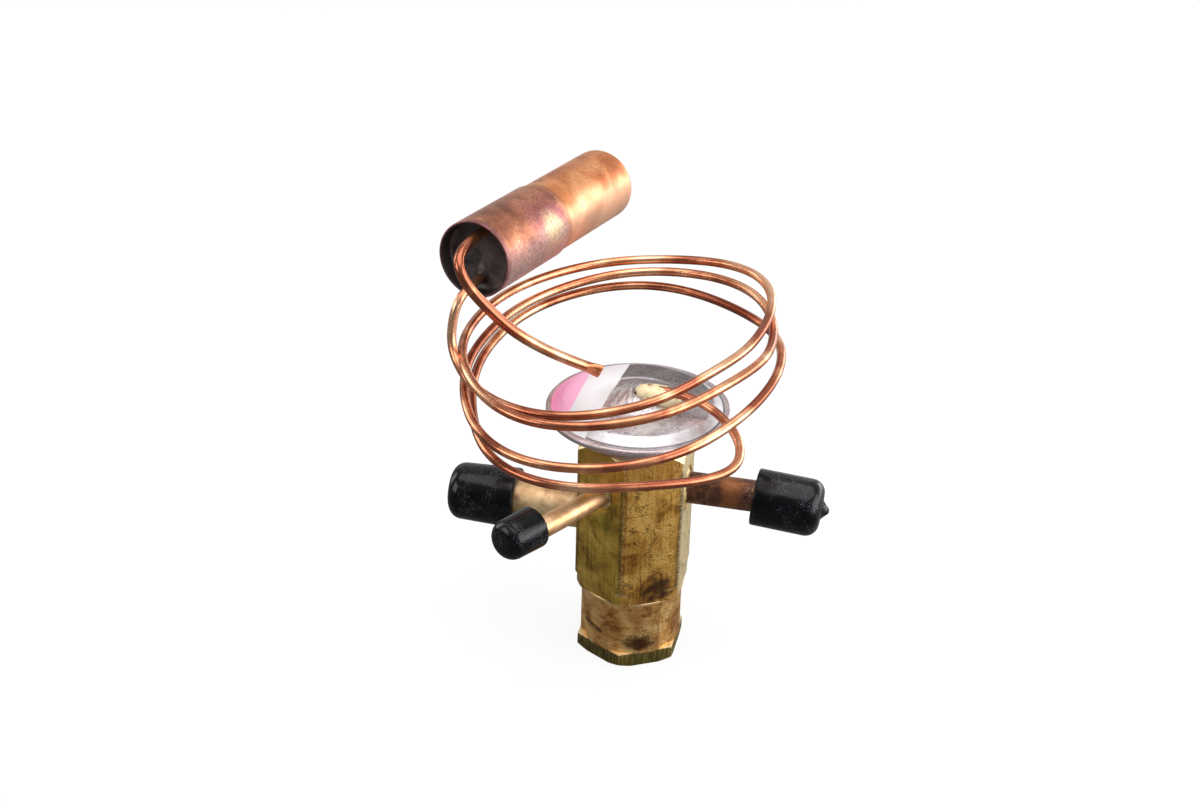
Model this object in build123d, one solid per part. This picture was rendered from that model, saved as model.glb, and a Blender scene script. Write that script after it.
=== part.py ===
from build123d import *
import os
from collections import namedtuple
from math import cos, pi, radians, sin, tan

# Thermostatic expansion valve: hexagonal brass body, welded power head on top, three copper
# stubs with push-on caps, adjusting stem under a seal cap, and a remote bulb on a coiled
# capillary.  Millimetres, +Z up, origin at the centre of the seal cap's bottom face,
# +X along the inlet stub.

# ---- driving dimensions: body -------------------------------------------------------------
HEX_FLATS = 31.75            # 1 1/4 inch brass hexagon bar
BODY_BOTTOM = 23.2           # underside of the hexagon, where the seal cap seats
BAND_RADIUS = 17.2           # turned band that takes the corners off the bottom
BAND_TOP = 26.4
HEX_BOTTOM = 28.3            # corners stand full from here up
HEX_TOP = 70.1               # corners stand full up to here
SHOULDER_TOP = 74.6          # top of the turned shoulder
SHOULDER_RADIUS = 15.4
NECK_RADIUS = 11.5           # neck that carries the power head
NECK_TOP = 76.4
SPIGOT_RADIUS = 12.5         # threaded spigot for the seal cap
SPIGOT_BOTTOM = 11.0

# ---- driving dimensions: bores in the body ------------------------------------------------
CHAMBER_RADIUS = 9.7         # spring chamber, open to the outlet
CHAMBER_TOP = 47.5
NUT_BORE_RADIUS = 10.2
NUT_BORE_TOP = 20.0
SEAT_RADIUS = 5.6
SEAT_TOP = 51.5
INLET_CHAMBER_RADIUS = 4.6
INLET_CHAMBER_TOP = 61.0
ROD_RADIUS = 1.0             # two push rods carry the diaphragm's travel past the seat
ROD_OFFSET = 7.5
ROD_CLEARANCE = 0.06
ROD_SEAL_RADIUS = 2.4
ROD_SEAL_BOTTOM = 73.6
SENSE_RADIUS = 1.2           # passage from the equalizer stub up to the diaphragm
SENSE_OFFSET = 9.0

# ---- driving dimensions: stubs and their caps ---------------------------------------------
Stub = namedtuple("Stub", "axis height radius wall seat end passage passage_start spot braze")
EQUALIZER_ANGLE = radians(-120)
STUBS = {
    "inlet": Stub((1, 0, 0), 57.3, 9.53 / 2, 0.8, 10.6, 50.0, 3.8, 0.0, 6.8, 1.1),
    "outlet": Stub((-1, 0, 0), 45.0, 12.7 / 2, 0.8, 11.2, 51.5, 5.0, 8.0, 8.6, 1.4),
    "equalizer": Stub((cos(EQUALIZER_ANGLE), sin(EQUALIZER_ANGLE), 0), 58.2, 6.35 / 2, 0.76,
                      10.9, 51.5, 1.6, 8.0, 5.0, 0.8),
}
SPOT_DEPTH = 0.5             # spot face milled into the flat round each stub

# The caps are soft and sit a little askew: lean is in degrees and lift in millimetres, both
# downwards, and shift is in millimetres across the stub.
Cap = namedtuple("Cap", "start end mouth_radius radius round nub lean lift shift")
CAPS = {
    "inlet": Cap(36.0, 56.2, 8.55, 8.6, 4.0, 2.2, 4.5, 0.0, 0.0),
    "outlet": Cap(36.2, 57.2, 9.3, 8.75, 4.0, 0.0, 0.0, 0.0, 0.0),
    "equalizer": Cap(42.8, 56.0, 6.3, 6.1, 3.6, 0.0, 0.0, -1.4, -0.7),
}
CAP_GRIP = 0.04              # radial play of a cap on its stub
CAP_END_GAP = 0.4

# ---- driving dimensions: seal cap, stem and packing ---------------------------------------
SEAL_RADIUS = 15.35
SEAL_LIP_RADIUS = 15.9
SEAL_TOP = 23.05
SEAL_HEX_FLATS = 29.6
SEAL_HEX_TOP = 4.7
SEAL_FLOOR = 6.5
SEAL_BORE_RADIUS = 12.62
GASKET_RADIUS = 14.1
GASKET_BOTTOM = 21.9
STEM_RADIUS = 3.0
STEM_BOTTOM = 8.4
STEM_TOP = 36.5
STEM_SQUARE = 4.2
STEM_FLANGE_RADIUS = 5.2
RUNNING_CLEARANCE = 0.06
NUT_TOP = 16.2

# ---- driving dimensions: spring, carrier and pin ------------------------------------------
SPRING_SEAT_BOTTOM = 26.0
SPRING_SEAT_TOP = 30.0
GUIDE_RADIUS = 9.3
CARRIER_BOTTOM = 41.0
CARRIER_TOP = 46.0
CARRIER_HUB_RADIUS = 4.6
CARRIER_HUB_BOTTOM = 38.6
CARRIER_HALF_WIDTH = 6.6     # flats that let the outlet flow past the carrier
SPRING_RADIUS = 6.3
SPRING_WIRE = 0.8
SPRING_TURNS = 4.5
PIN_RADIUS = 1.6
PIN_CONE_BOTTOM = 46.6
PIN_CONE_TOP = 49.4
PIN_TIP_RADIUS = 0.5
ORIFICE_RADIUS = 1.25

# ---- driving dimensions: power head -------------------------------------------------------
HEAD_RADIUS = 26.8
RIM_BEAD = 0.45
SHEET = 1.1                  # pressed sheet of the two cases
RIM_BOTTOM = 80.7
DIAPHRAGM_BOTTOM = 81.55
DIAPHRAGM_THICK = 0.25
RIM_TOP = 82.65
PAN_RADIUS = 19.5
PAN_BOTTOM = 74.8
PLATEAU = 84.8
BUFFER_RADIUS = 14.0
BUFFER_BOTTOM = 79.0
BUFFER_TOP = 81.4
LABEL_RADIUS = 25.7
LABEL_CHORD = -8.75
LABEL_THICK = 0.12
LABEL_TURN = -4.7            # degrees the label's straight edge leans about the valve axis
HUB_BEAD = (5.4, -0.3, 87.6) # middle of the solder bead that seals the capillary in the hub

# ---- driving dimensions: bulb -------------------------------------------------------------
BULB_MOUTH = Vector(-47.8, -8.0, 127.3)
BULB_HEADING = radians(74.4)
BULB_SLOPE = radians(-3.1)
BULB_LENGTH = 78.0
BULB_RADIUS = 11.05
SLEEVE_RADIUS = 11.55
SLEEVE_LENGTH = 36.5
SLEEVE_OVERLAP = 6.0
BULB_WALL = 0.8
BULB_END_ROUND = 2.6
END_CUP_DEPTH = 5.5
END_CUP_SKIRT = 4.0
END_CUP_WALL = 1.0
TUBE_HOLE_OFFSET = 7.0       # the two tubes enter the end cup above and below its centre

# ---- driving dimensions: capillary and charging tube --------------------------------------
CAPILLARY_RADIUS = 1.35
CHARGE_RADIUS = 1.6
CHARGE_PINCH_LENGTH = 3.2
CHARGE_LIP = 2.2
CHARGE_PINCH_THICK = 1.3
CHARGE_PINCH_WIDTH = 4.0
COIL_CENTRE = (-6.5, -1.0)
COIL_STEP = 30               # degrees between corners of the coil's path
COIL_FIRST = -150            # where the capillary joins the coil, counted anticlockwise
COIL_LAST = 1010             # where it leaves the coil for the power head
KNOT_STEP = 40
# The coil is wound by hand, so its reach from the centre and its height change as it goes
# round: one (reach, height) pair for every ninth of a turn.
COIL_KNOTS = [
    (46.0, 98.5), (43.0, 99.0), (37.5, 102.5), (34.5, 106.0), (40.5, 107.5), (53.5, 110.0),
    (51.5, 106.5), (47.0, 104.0), (44.0, 103.0), (46.0, 102.0), (49.0, 100.0), (45.0, 102.5),
    (42.0, 106.0), (44.5, 105.0), (49.5, 106.5), (48.0, 104.0), (43.0, 100.5), (40.5, 98.5),
    (46.0, 95.0), (55.0, 91.5), (52.0, 93.0), (47.0, 97.5), (47.5, 101.0), (49.0, 98.5),
    (48.5, 99.0), (45.0, 96.0), (42.0, 91.5), (43.5, 87.0), (52.5, 84.5), (51.0, 85.0),
]


def turned(*outline):
    """Solid of revolution about Z from (radius, height) corners."""
    return revolve(Plane.XZ * make_face(Polyline(*outline, close=True)), Axis.Z)


def tube(outer, inner, bottom, top):
    """Plain ring or tube about Z."""
    return turned((inner, bottom), (outer, bottom), (outer, top), (inner, top))


def rod(radius, bottom, top, x=0.0, y=0.0):
    """Upright cylinder."""
    return Pos(x, y, (bottom + top) / 2) * Cylinder(radius, top - bottom)


def along(stub):
    """Plane on the body axis whose Z runs out along a stub and whose X points down."""
    return Plane(origin=(0, 0, stub.height), x_dir=(0, 0, -1), z_dir=stub.axis)


def swept_wire(points, radius):
    """Round wire along straight runs joined by arcs as large as the runs allow."""
    corners = [Vector(*p) for p in points]
    runs = [(b - a) for a, b in zip(corners, corners[1:])]
    radii = []
    for first, second in zip(runs, runs[1:]):
        half_turn = radians(first.get_angle(second)) / 2
        radii.append(0.45 * min(first.length, second.length) / tan(half_turn))
    path = FilletPolyline(*corners, radius=radii)
    section = Plane(origin=path @ 0, z_dir=path % 0) * Circle(radius)
    wire = sweep(section, path=path)
    share = wire.volume / (pi * radius**2 * path.length)
    print(f"wire: length {path.length:.0f}, smallest radius {min(radii):.1f}, volume share {share:.3f}")
    return wire


# ---- body -----------------------------------------------------------------------------------

def stub_bore(stub):
    """Counterbore for a stub, the passage behind it and the spot face round it."""
    flat = HEX_FLATS / 2
    counterbore = rod(stub.radius, stub.seat, flat + 5)
    passage = rod(stub.passage, stub.passage_start, stub.seat + 1)
    spot = rod(stub.spot, flat - SPOT_DEPTH, flat + 5)
    return along(stub) * (counterbore + passage + spot)


def valve_body():
    """Hexagon bar, turned at both ends, with every chamber and passage bored."""
    corner = HEX_FLATS / 2 / cos(pi / 6) + 0.2
    envelope = turned(
        (0, SPIGOT_BOTTOM), (SPIGOT_RADIUS - 0.8, SPIGOT_BOTTOM),
        (SPIGOT_RADIUS, SPIGOT_BOTTOM + 0.8), (SPIGOT_RADIUS, BODY_BOTTOM),
        (BAND_RADIUS, BODY_BOTTOM), (BAND_RADIUS, BAND_TOP), (corner, HEX_BOTTOM),
        (corner, HEX_TOP), (SHOULDER_RADIUS, SHOULDER_TOP), (NECK_RADIUS, SHOULDER_TOP),
        (NECK_RADIUS, NECK_TOP), (0, NECK_TOP),
    )
    hexagon = RegularPolygon(HEX_FLATS / 2, 6, major_radius=False, rotation=30)
    bar = Pos(0, 0, SPIGOT_BOTTOM) * extrude(hexagon, NECK_TOP - SPIGOT_BOTTOM)
    body = bar & envelope
    body -= turned(
        (0, SPIGOT_BOTTOM - 1), (NUT_BORE_RADIUS, SPIGOT_BOTTOM - 1),
        (NUT_BORE_RADIUS, NUT_BORE_TOP), (CHAMBER_RADIUS, NUT_BORE_TOP),
        (CHAMBER_RADIUS, CHAMBER_TOP), (SEAT_RADIUS, CHAMBER_TOP), (SEAT_RADIUS, SEAT_TOP),
        (INLET_CHAMBER_RADIUS, SEAT_TOP), (INLET_CHAMBER_RADIUS, INLET_CHAMBER_TOP),
        (0, INLET_CHAMBER_TOP + 2),
    )
    for stub in STUBS.values():
        body -= stub_bore(stub)
    for side in (-1, 1):
        y = side * ROD_OFFSET
        body -= rod(ROD_RADIUS + ROD_CLEARANCE, CHAMBER_TOP - 1, NECK_TOP + 1, 0, y)
        body -= rod(ROD_SEAL_RADIUS, ROD_SEAL_BOTTOM, NECK_TOP + 1, 0, y)
    equalizer = STUBS["equalizer"]
    x, y = (SENSE_OFFSET * part for part in equalizer.axis[:2])
    return body - rod(SENSE_RADIUS, equalizer.height, NECK_TOP + 1, x, y)


def valve_seat():
    """Hard seat pressed up into the body, with the metering orifice through it."""
    nose = CHAMBER_TOP - 0.6
    return turned(
        (ORIFICE_RADIUS + 0.35, nose), (3.2, nose), (3.8, CHAMBER_TOP),
        (SEAT_RADIUS, CHAMBER_TOP), (SEAT_RADIUS, SEAT_TOP), (3.0, SEAT_TOP),
        (ORIFICE_RADIUS, SEAT_TOP - 1.6), (ORIFICE_RADIUS, nose + 0.7),
    )


def rod_seal(side):
    """Packing ring round one push rod at the top of the body."""
    ring = tube(ROD_SEAL_RADIUS, ROD_RADIUS + ROD_CLEARANCE, ROD_SEAL_BOTTOM, NECK_TOP)
    return Pos(0, side * ROD_OFFSET, 0) * ring


# ---- stubs ----------------------------------------------------------------------------------

def copper_stub(stub):
    """Drawn copper tube, its open end broken on both edges."""
    inner = stub.radius - stub.wall
    edge = 0.2
    return along(stub) * turned(
        (inner, stub.seat), (stub.radius, stub.seat), (stub.radius, stub.end - edge),
        (stub.radius - edge, stub.end), (inner + edge, stub.end), (inner, stub.end - edge),
    )


def braze_ring(stub):
    """Hollow fillet of braze between a stub and its spot face."""
    foot = HEX_FLATS / 2 - SPOT_DEPTH
    size = stub.braze
    outline = Polyline((stub.radius, foot), (stub.radius + size, foot))
    hollow = RadiusArc((stub.radius + size, foot), (stub.radius, foot + size), size)
    wall = Line((stub.radius, foot + size), (stub.radius, foot))
    face = make_face(Curve() + [outline, hollow, wall])
    return along(stub) * revolve(Plane.XZ * face, Axis.Z)


def push_on_cap(stub, cap):
    """Thick-walled moulded cap, closed and rounded at its outer end."""
    length = cap.end - cap.start
    blank = turned((0, 0), (cap.mouth_radius, 0), (cap.radius, length), (0, length))
    blank = fillet(blank.faces().sort_by(Axis.Z)[-1].edges(), cap.round)
    blank = fillet(blank.faces().sort_by(Axis.Z)[0].edges(), 0.5)
    if cap.nub:
        blank += turned((0, length - 1), (3.4, length - 1), (3.0, length),
                        (0.8, length + cap.nub - 0.2), (0.4, length + cap.nub),
                        (0, length + cap.nub))
    blank = Pos(cap.lift, cap.shift, cap.start) * Rot(0, cap.lean, 0) * blank
    blank -= rod(stub.radius + CAP_GRIP, cap.start - 5, stub.end + CAP_END_GAP)
    return along(stub) * blank


# ---- seal cap, stem and packing ---------------------------------------------------------------

def seal_cap():
    """Hexagon-based cap that screws over the spigot and hides the adjusting stem."""
    corner = SEAL_HEX_FLATS / 2 / cos(pi / 6)
    hexagon = RegularPolygon(SEAL_HEX_FLATS / 2, 6, major_radius=False, rotation=30)
    base = extrude(hexagon, SEAL_HEX_TOP) & turned(
        (0, 0), (15.4, 0), (corner + 0.1, 1.1), (corner + 0.1, SEAL_HEX_TOP), (0, SEAL_HEX_TOP))
    barrel = turned(
        (0, SEAL_HEX_TOP - 1), (SEAL_RADIUS, SEAL_HEX_TOP - 1), (SEAL_RADIUS, SEAL_TOP - 1.3),
        (SEAL_LIP_RADIUS, SEAL_TOP - 0.9), (SEAL_LIP_RADIUS, SEAL_TOP - 0.2),
        (SEAL_LIP_RADIUS - 0.2, SEAL_TOP), (0, SEAL_TOP))
    hollow = turned(
        (0, SEAL_FLOOR), (SEAL_BORE_RADIUS - 1, SEAL_FLOOR), (SEAL_BORE_RADIUS, SEAL_FLOOR + 1),
        (SEAL_BORE_RADIUS, GASKET_BOTTOM), (GASKET_RADIUS, GASKET_BOTTOM),
        (GASKET_RADIUS, SEAL_TOP + 1), (0, SEAL_TOP + 1))
    return base + barrel - hollow


def adjusting_stem():
    """Square-ended stem: a plain journal through the nut, a flange, and a thread for the plate."""
    square = Pos(0, 0, (STEM_BOTTOM + 12.4) / 2) * Box(STEM_SQUARE, STEM_SQUARE, 12.4 - STEM_BOTTOM)
    shaft = turned(
        (0, 12), (STEM_RADIUS - 0.4, 12), (STEM_RADIUS, 12.4), (STEM_RADIUS, 20.3),
        (STEM_FLANGE_RADIUS, 20.3), (STEM_FLANGE_RADIUS, 22), (STEM_RADIUS, 22),
        (STEM_RADIUS, STEM_TOP - 0.6), (STEM_RADIUS - 0.6, STEM_TOP), (0, STEM_TOP))
    return square + shaft


def packing_nut():
    """Threaded plug that closes the spring chamber round the stem."""
    plug = tube(NUT_BORE_RADIUS, STEM_RADIUS + RUNNING_CLEARANCE, SPIGOT_BOTTOM + 0.6, NUT_TOP)
    for side in (-1, 1):
        plug -= Pos(side * 7, 0, SPIGOT_BOTTOM) * Box(5, 2.2, 4)
    return plug


def spring_plate():
    """Plate that the stem drives up and down, with a spigot inside the spring."""
    bore = STEM_RADIUS + RUNNING_CLEARANCE
    return turned(
        (bore, SPRING_SEAT_BOTTOM), (GUIDE_RADIUS - 0.5, SPRING_SEAT_BOTTOM),
        (GUIDE_RADIUS, SPRING_SEAT_BOTTOM + 0.5), (GUIDE_RADIUS, SPRING_SEAT_TOP),
        (CARRIER_HUB_RADIUS, SPRING_SEAT_TOP), (CARRIER_HUB_RADIUS, SPRING_SEAT_TOP + 1.6),
        (bore, SPRING_SEAT_TOP + 1.6))


def superheat_spring():
    """Open coil spring between the plate and the pin carrier."""
    height = CARRIER_BOTTOM - SPRING_SEAT_TOP - 2 * SPRING_WIRE
    path = Helix(pitch=height / SPRING_TURNS, height=height, radius=SPRING_RADIUS)
    section = Plane(origin=path @ 0, z_dir=path % 0) * Circle(SPRING_WIRE)
    coil = sweep(section, path=path, is_frenet=True)
    return Pos(0, 0, SPRING_SEAT_TOP + SPRING_WIRE) * coil


def pin_carrier():
    """Guided disc that the push rods press down, flatted so the outlet flow can pass."""
    disc = turned(
        (0, CARRIER_HUB_BOTTOM), (CARRIER_HUB_RADIUS, CARRIER_HUB_BOTTOM),
        (CARRIER_HUB_RADIUS, CARRIER_BOTTOM), (GUIDE_RADIUS, CARRIER_BOTTOM),
        (GUIDE_RADIUS, CARRIER_TOP - 1.2), (GUIDE_RADIUS - 0.5, CARRIER_TOP - 0.7),
        (GUIDE_RADIUS - 0.5, CARRIER_TOP), (0, CARRIER_TOP))
    middle = (CARRIER_HUB_BOTTOM + CARRIER_TOP) / 2
    disc &= Pos(0, 0, middle) * Box(2 * CARRIER_HALF_WIDTH, 30, 20)
    return disc - rod(PIN_RADIUS, CARRIER_TOP - 3.0, CARRIER_TOP + 1)


def valve_pin():
    """Tapered metering pin pressed into the carrier."""
    return turned(
        (0, CARRIER_TOP - 3.0), (PIN_RADIUS, CARRIER_TOP - 3.0), (PIN_RADIUS, PIN_CONE_BOTTOM),
        (PIN_TIP_RADIUS, PIN_CONE_TOP), (0, PIN_CONE_TOP))


def push_rod(side):
    """One of the two rods between the buffer plate and the pin carrier."""
    return rod(ROD_RADIUS, CARRIER_TOP, BUFFER_BOTTOM, 0, side * ROD_OFFSET)


# ---- power head -------------------------------------------------------------------------------

def lower_head_case():
    """Pressed pan welded round the neck of the body."""
    return turned(
        (NECK_RADIUS, PAN_BOTTOM), (PAN_RADIUS - 0.6, PAN_BOTTOM), (PAN_RADIUS, PAN_BOTTOM + 0.4),
        (24.2, RIM_BOTTOM - 0.2), (24.8, RIM_BOTTOM), (HEAD_RADIUS, RIM_BOTTOM),
        (HEAD_RADIUS, DIAPHRAGM_BOTTOM), (24.4, DIAPHRAGM_BOTTOM), (23.4, RIM_BOTTOM + 0.4),
        (PAN_RADIUS - 1, PAN_BOTTOM + SHEET + 0.2), (PAN_RADIUS - 1.6, PAN_BOTTOM + SHEET),
        (NECK_RADIUS, PAN_BOTTOM + SHEET))


# Top outline of the upper case: flat rim, rising shoulder, plateau, pressed ring, raised hub.
CASE_TOP = [
    (HEAD_RADIUS, RIM_TOP), (25.5, RIM_TOP), (24.9, RIM_TOP + 0.15), (22.6, PLATEAU - 0.4),
    (21.8, PLATEAU), (13.8, PLATEAU + 0.15), (13.2, PLATEAU - 0.2), (11.6, PLATEAU - 0.2),
    (9.8, PLATEAU + 0.2), (4.6, PLATEAU + 1.7), (3.2, PLATEAU + 2.2),
]


def upper_head_case():
    """Pressed cover over the diaphragm, raised to a hub where the capillary enters."""
    underside = [(r - 0.35, z - SHEET) for r, z in reversed(CASE_TOP[2:])]
    flange = DIAPHRAGM_BOTTOM + DIAPHRAGM_THICK
    inner = [(r, max(z, flange + 0.3)) for r, z in underside]
    return turned(*CASE_TOP, (1.5, PLATEAU + 2.3), (1.5, inner[0][1]), *inner,
                  (24.4, flange), (HEAD_RADIUS, flange))


def rim_weld():
    """Weld bead that closes the edge of both cases and the diaphragm."""
    outer = HEAD_RADIUS + RIM_BEAD
    return turned(
        (HEAD_RADIUS, RIM_BOTTOM), (outer - 0.3, RIM_BOTTOM + 0.1), (outer, RIM_BOTTOM + 0.5),
        (outer, RIM_TOP - 0.5), (outer - 0.3, RIM_TOP - 0.1), (HEAD_RADIUS, RIM_TOP))


def name_label():
    """Blank foil label on the side of the cover away from the capillary."""
    under = [point for point in CASE_TOP[1:] if point[0] > 4]
    under = [(LABEL_RADIUS, RIM_TOP)] + under[1:]
    over = [(r, z + LABEL_THICK) for r, z in reversed(under)]
    skin = turned(*under, *over)
    half = Rot(0, 0, LABEL_TURN) * Pos(LABEL_CHORD - 30, 0, PLATEAU) * Box(60, 80, 20)
    return skin & half


def buffer_plate():
    """Stiff plate that takes the diaphragm's push and passes it to the rods."""
    return turned(
        (0, BUFFER_BOTTOM), (BUFFER_RADIUS - 1.5, BUFFER_BOTTOM),
        (BUFFER_RADIUS, BUFFER_BOTTOM + 1.2), (BUFFER_RADIUS, BUFFER_TOP - 0.3),
        (BUFFER_RADIUS - 0.3, BUFFER_TOP), (0, BUFFER_TOP))


# ---- bulb ---------------------------------------------------------------------------------------

BULB_AXIS = Vector(
    cos(BULB_HEADING) * cos(BULB_SLOPE), sin(BULB_HEADING) * cos(BULB_SLOPE), sin(BULB_SLOPE))
BULB_PLANE = Plane(origin=BULB_MOUTH, z_dir=BULB_AXIS,
                   x_dir=(-sin(BULB_HEADING), cos(BULB_HEADING), 0))


def bulb_shell():
    """Far half of the bulb: a drawn shell, rounded where it closes and necked to fit the sleeve."""
    start = SLEEVE_LENGTH - SLEEVE_OVERLAP
    neck = SLEEVE_RADIUS - BULB_WALL
    outer = extrude(Circle(BULB_RADIUS), BULB_LENGTH - start)
    outer = fillet(outer.faces().sort_by(Axis.Z)[-1].edges(), BULB_END_ROUND)
    outer -= tube(BULB_RADIUS + 1, neck, -1, SLEEVE_OVERLAP)
    bore = neck - BULB_WALL
    inner = extrude(Circle(bore), BULB_LENGTH - start - BULB_WALL)
    inner = fillet(inner.faces().sort_by(Axis.Z)[-1].edges(), BULB_END_ROUND - BULB_WALL)
    return BULB_PLANE * Pos(0, 0, start) * (outer - inner)


def bulb_sleeve():
    """Near half of the bulb: a slightly larger tube drawn over the neck of the far half."""
    inner = SLEEVE_RADIUS - BULB_WALL
    lip = BULB_RADIUS - 0.1
    return BULB_PLANE * turned(
        (inner, 0), (SLEEVE_RADIUS, 0), (SLEEVE_RADIUS, SLEEVE_LENGTH - 1.2),
        (SLEEVE_RADIUS - 0.15, SLEEVE_LENGTH - 0.4), (lip, SLEEVE_LENGTH), (inner, SLEEVE_LENGTH))


def bulb_end_cup():
    """Dished end pressed into the mouth, with a hole for each tube."""
    outer = SLEEVE_RADIUS - BULB_WALL
    floor = END_CUP_DEPTH
    cup = turned(
        (0, floor), (outer - 1.2, floor), (outer - 0.3, floor + 0.4), (outer, floor + 1.4),
        (outer, floor + END_CUP_SKIRT), (outer - END_CUP_WALL, floor + END_CUP_SKIRT),
        (outer - END_CUP_WALL, floor + 1.6), (outer - 2, floor + END_CUP_WALL),
        (0, floor + END_CUP_WALL))
    cup -= rod(CHARGE_RADIUS, floor - 1, floor + 3, 0, TUBE_HOLE_OFFSET)
    cup -= rod(CAPILLARY_RADIUS, floor - 1, floor + 3, 0, -TUBE_HOLE_OFFSET)
    return BULB_PLANE * cup


def in_bulb(side, depth):
    """Point on the axis of one of the end cup's holes, measured inwards from the mouth."""
    return BULB_PLANE.from_local_coords(Vector(0, side * TUBE_HOLE_OFFSET, depth))


# ---- capillary and charging tube ----------------------------------------------------------------

def knot_value(index, share, column):
    """Smooth value between two coil knots, from the two knots either side."""
    last = len(COIL_KNOTS) - 1
    a, b, c, d = (COIL_KNOTS[min(max(index + k, 0), last)][column] for k in (-1, 0, 1, 2))
    return 0.5 * (2 * b + (c - a) * share + (2 * a - 5 * b + 4 * c - d) * share**2
                  + (3 * b - a - 3 * c + d) * share**3)


def coil_point(angle):
    """Point of the hand-wound coil at an angle counted through all its turns."""
    index, rest = divmod(angle - COIL_FIRST, KNOT_STEP)
    reach = knot_value(int(index), rest / KNOT_STEP, 0)
    height = knot_value(int(index), rest / KNOT_STEP, 1)
    turn = radians(angle)
    corner = reach / cos(radians(COIL_STEP / 2))    # the arcs pass this far inside their corners
    return (COIL_CENTRE[0] + corner * cos(turn), COIL_CENTRE[1] + corner * sin(turn), height)


def capillary_route():
    """From the bulb's end cup, down into the coil, round it and in to the head's hub."""
    from_bulb = [in_bulb(-1, END_CUP_DEPTH + 3), in_bulb(-1, -6.0), (-51.8, -16.2, 113.0),
                 (-52.2, -17.4, 103.0)]
    turns = [coil_point(angle) for angle in range(COIL_FIRST, COIL_LAST, COIL_STEP)]
    to_head = [(31.0, -35.5, 82.2), (35.4, -24.5, 83.8), (31.0, -13.0, 86.3),
               (19.5, -3.0, 89.0), (10.0, -0.6, 89.0), (2.4, 0.0, 88.7)]
    return from_bulb + turns + to_head


def charging_route():
    """Out of the end cup, over the coil and down towards the head."""
    return [in_bulb(1, END_CUP_DEPTH + 3), in_bulb(1, -9.5), (-48.6, -22.5, 129.0),
            (-40.8, -20.5, 119.4), (-34.5, -17.5, 111.5), (-27.0, -14.8, 105.8),
            (-20.2, -12.3, 101.9), (-14.2, -9.1, 98.4)]


def charging_tube():
    """Short tube that filled the bulb, its end pinched to an upright flat and sealed."""
    route = [Vector(*point) for point in charging_route()]
    wire = swept_wire(route, CHARGE_RADIUS)
    end = route[-1]
    heading = (end - route[-2]).normalized()
    across = heading.cross(Vector(0, 0, 1)).normalized()
    start = Plane(origin=end, z_dir=heading, x_dir=across.cross(heading))
    flat = start.offset(CHARGE_PINCH_LENGTH)
    pinch = loft([start * Circle(CHARGE_RADIUS),
                  flat * Ellipse(CHARGE_PINCH_WIDTH / 2, CHARGE_PINCH_THICK / 2)])
    lip = extrude(flat * Ellipse(CHARGE_PINCH_WIDTH / 2, CHARGE_PINCH_THICK / 2), CHARGE_LIP)
    return wire + pinch + lip


def head_braze(case, capillary):
    """Bead of silver solder where the capillary runs into the hub."""
    profile = Spline((-5.4, 0), (-3.4, 2.5), (0.6, 3.3), (4.2, 2.7), (8.0, 1.7),
                     tangents=[(0, 1), (1, -0.35)])
    close = Polyline((8.0, 1.7), (8.0, 0), (-5.4, 0))
    face = make_face(Curve() + [profile, close])
    bead = Pos(*HUB_BEAD) * revolve(face, Axis.X)
    return bead - case - capillary


def all_nodes():
    """Every piece of the valve by its node name."""
    nodes = {"valve_body": valve_body(), "valve_seat": valve_seat()}
    for number, side in ((1, -1), (2, 1)):
        nodes[f"rod_seal_{number}"] = rod_seal(side)
        nodes[f"push_rod_{number}"] = push_rod(side)
    for name, stub in STUBS.items():
        nodes[f"{name}_stub"] = copper_stub(stub)
        nodes[f"{name}_braze"] = braze_ring(stub)
        nodes[f"{name}_cap"] = push_on_cap(stub, CAPS[name])
    nodes["seal_cap"] = seal_cap()
    nodes["seal_cap_gasket"] = tube(GASKET_RADIUS, SEAL_BORE_RADIUS, GASKET_BOTTOM, SEAL_TOP)
    nodes["adjusting_stem"] = adjusting_stem()
    nodes["packing_nut"] = packing_nut()
    nodes["stem_packing"] = tube(
        NUT_BORE_RADIUS, STEM_RADIUS + RUNNING_CLEARANCE, NUT_TOP, NUT_BORE_TOP - 0.1)
    nodes["spring_plate"] = spring_plate()
    nodes["superheat_spring"] = superheat_spring()
    nodes["pin_carrier"] = pin_carrier()
    nodes["valve_pin"] = valve_pin()
    nodes["lower_head_case"] = lower_head_case()
    nodes["upper_head_case"] = upper_head_case()
    nodes["diaphragm"] = rod(HEAD_RADIUS, DIAPHRAGM_BOTTOM, DIAPHRAGM_BOTTOM + DIAPHRAGM_THICK)
    nodes["rim_weld"] = rim_weld()
    nodes["buffer_plate"] = buffer_plate()
    nodes["name_label"] = name_label()
    nodes["bulb_shell"] = bulb_shell()
    nodes["bulb_sleeve"] = bulb_sleeve()
    nodes["bulb_end_cup"] = bulb_end_cup()
    nodes["capillary_tube"] = swept_wire(capillary_route(), CAPILLARY_RADIUS)
    nodes["charging_tube"] = charging_tube()
    nodes["head_braze"] = head_braze(nodes["upper_head_case"], nodes["capillary_tube"])
    return nodes


os.makedirs("parts", exist_ok=True)
for node_name, solid in all_nodes().items():
    export_step(solid, f"parts/{node_name}.step")
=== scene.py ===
from math import atan2, cos, pi, radians, sin

import bpy
from mathutils import Matrix, Vector


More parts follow.
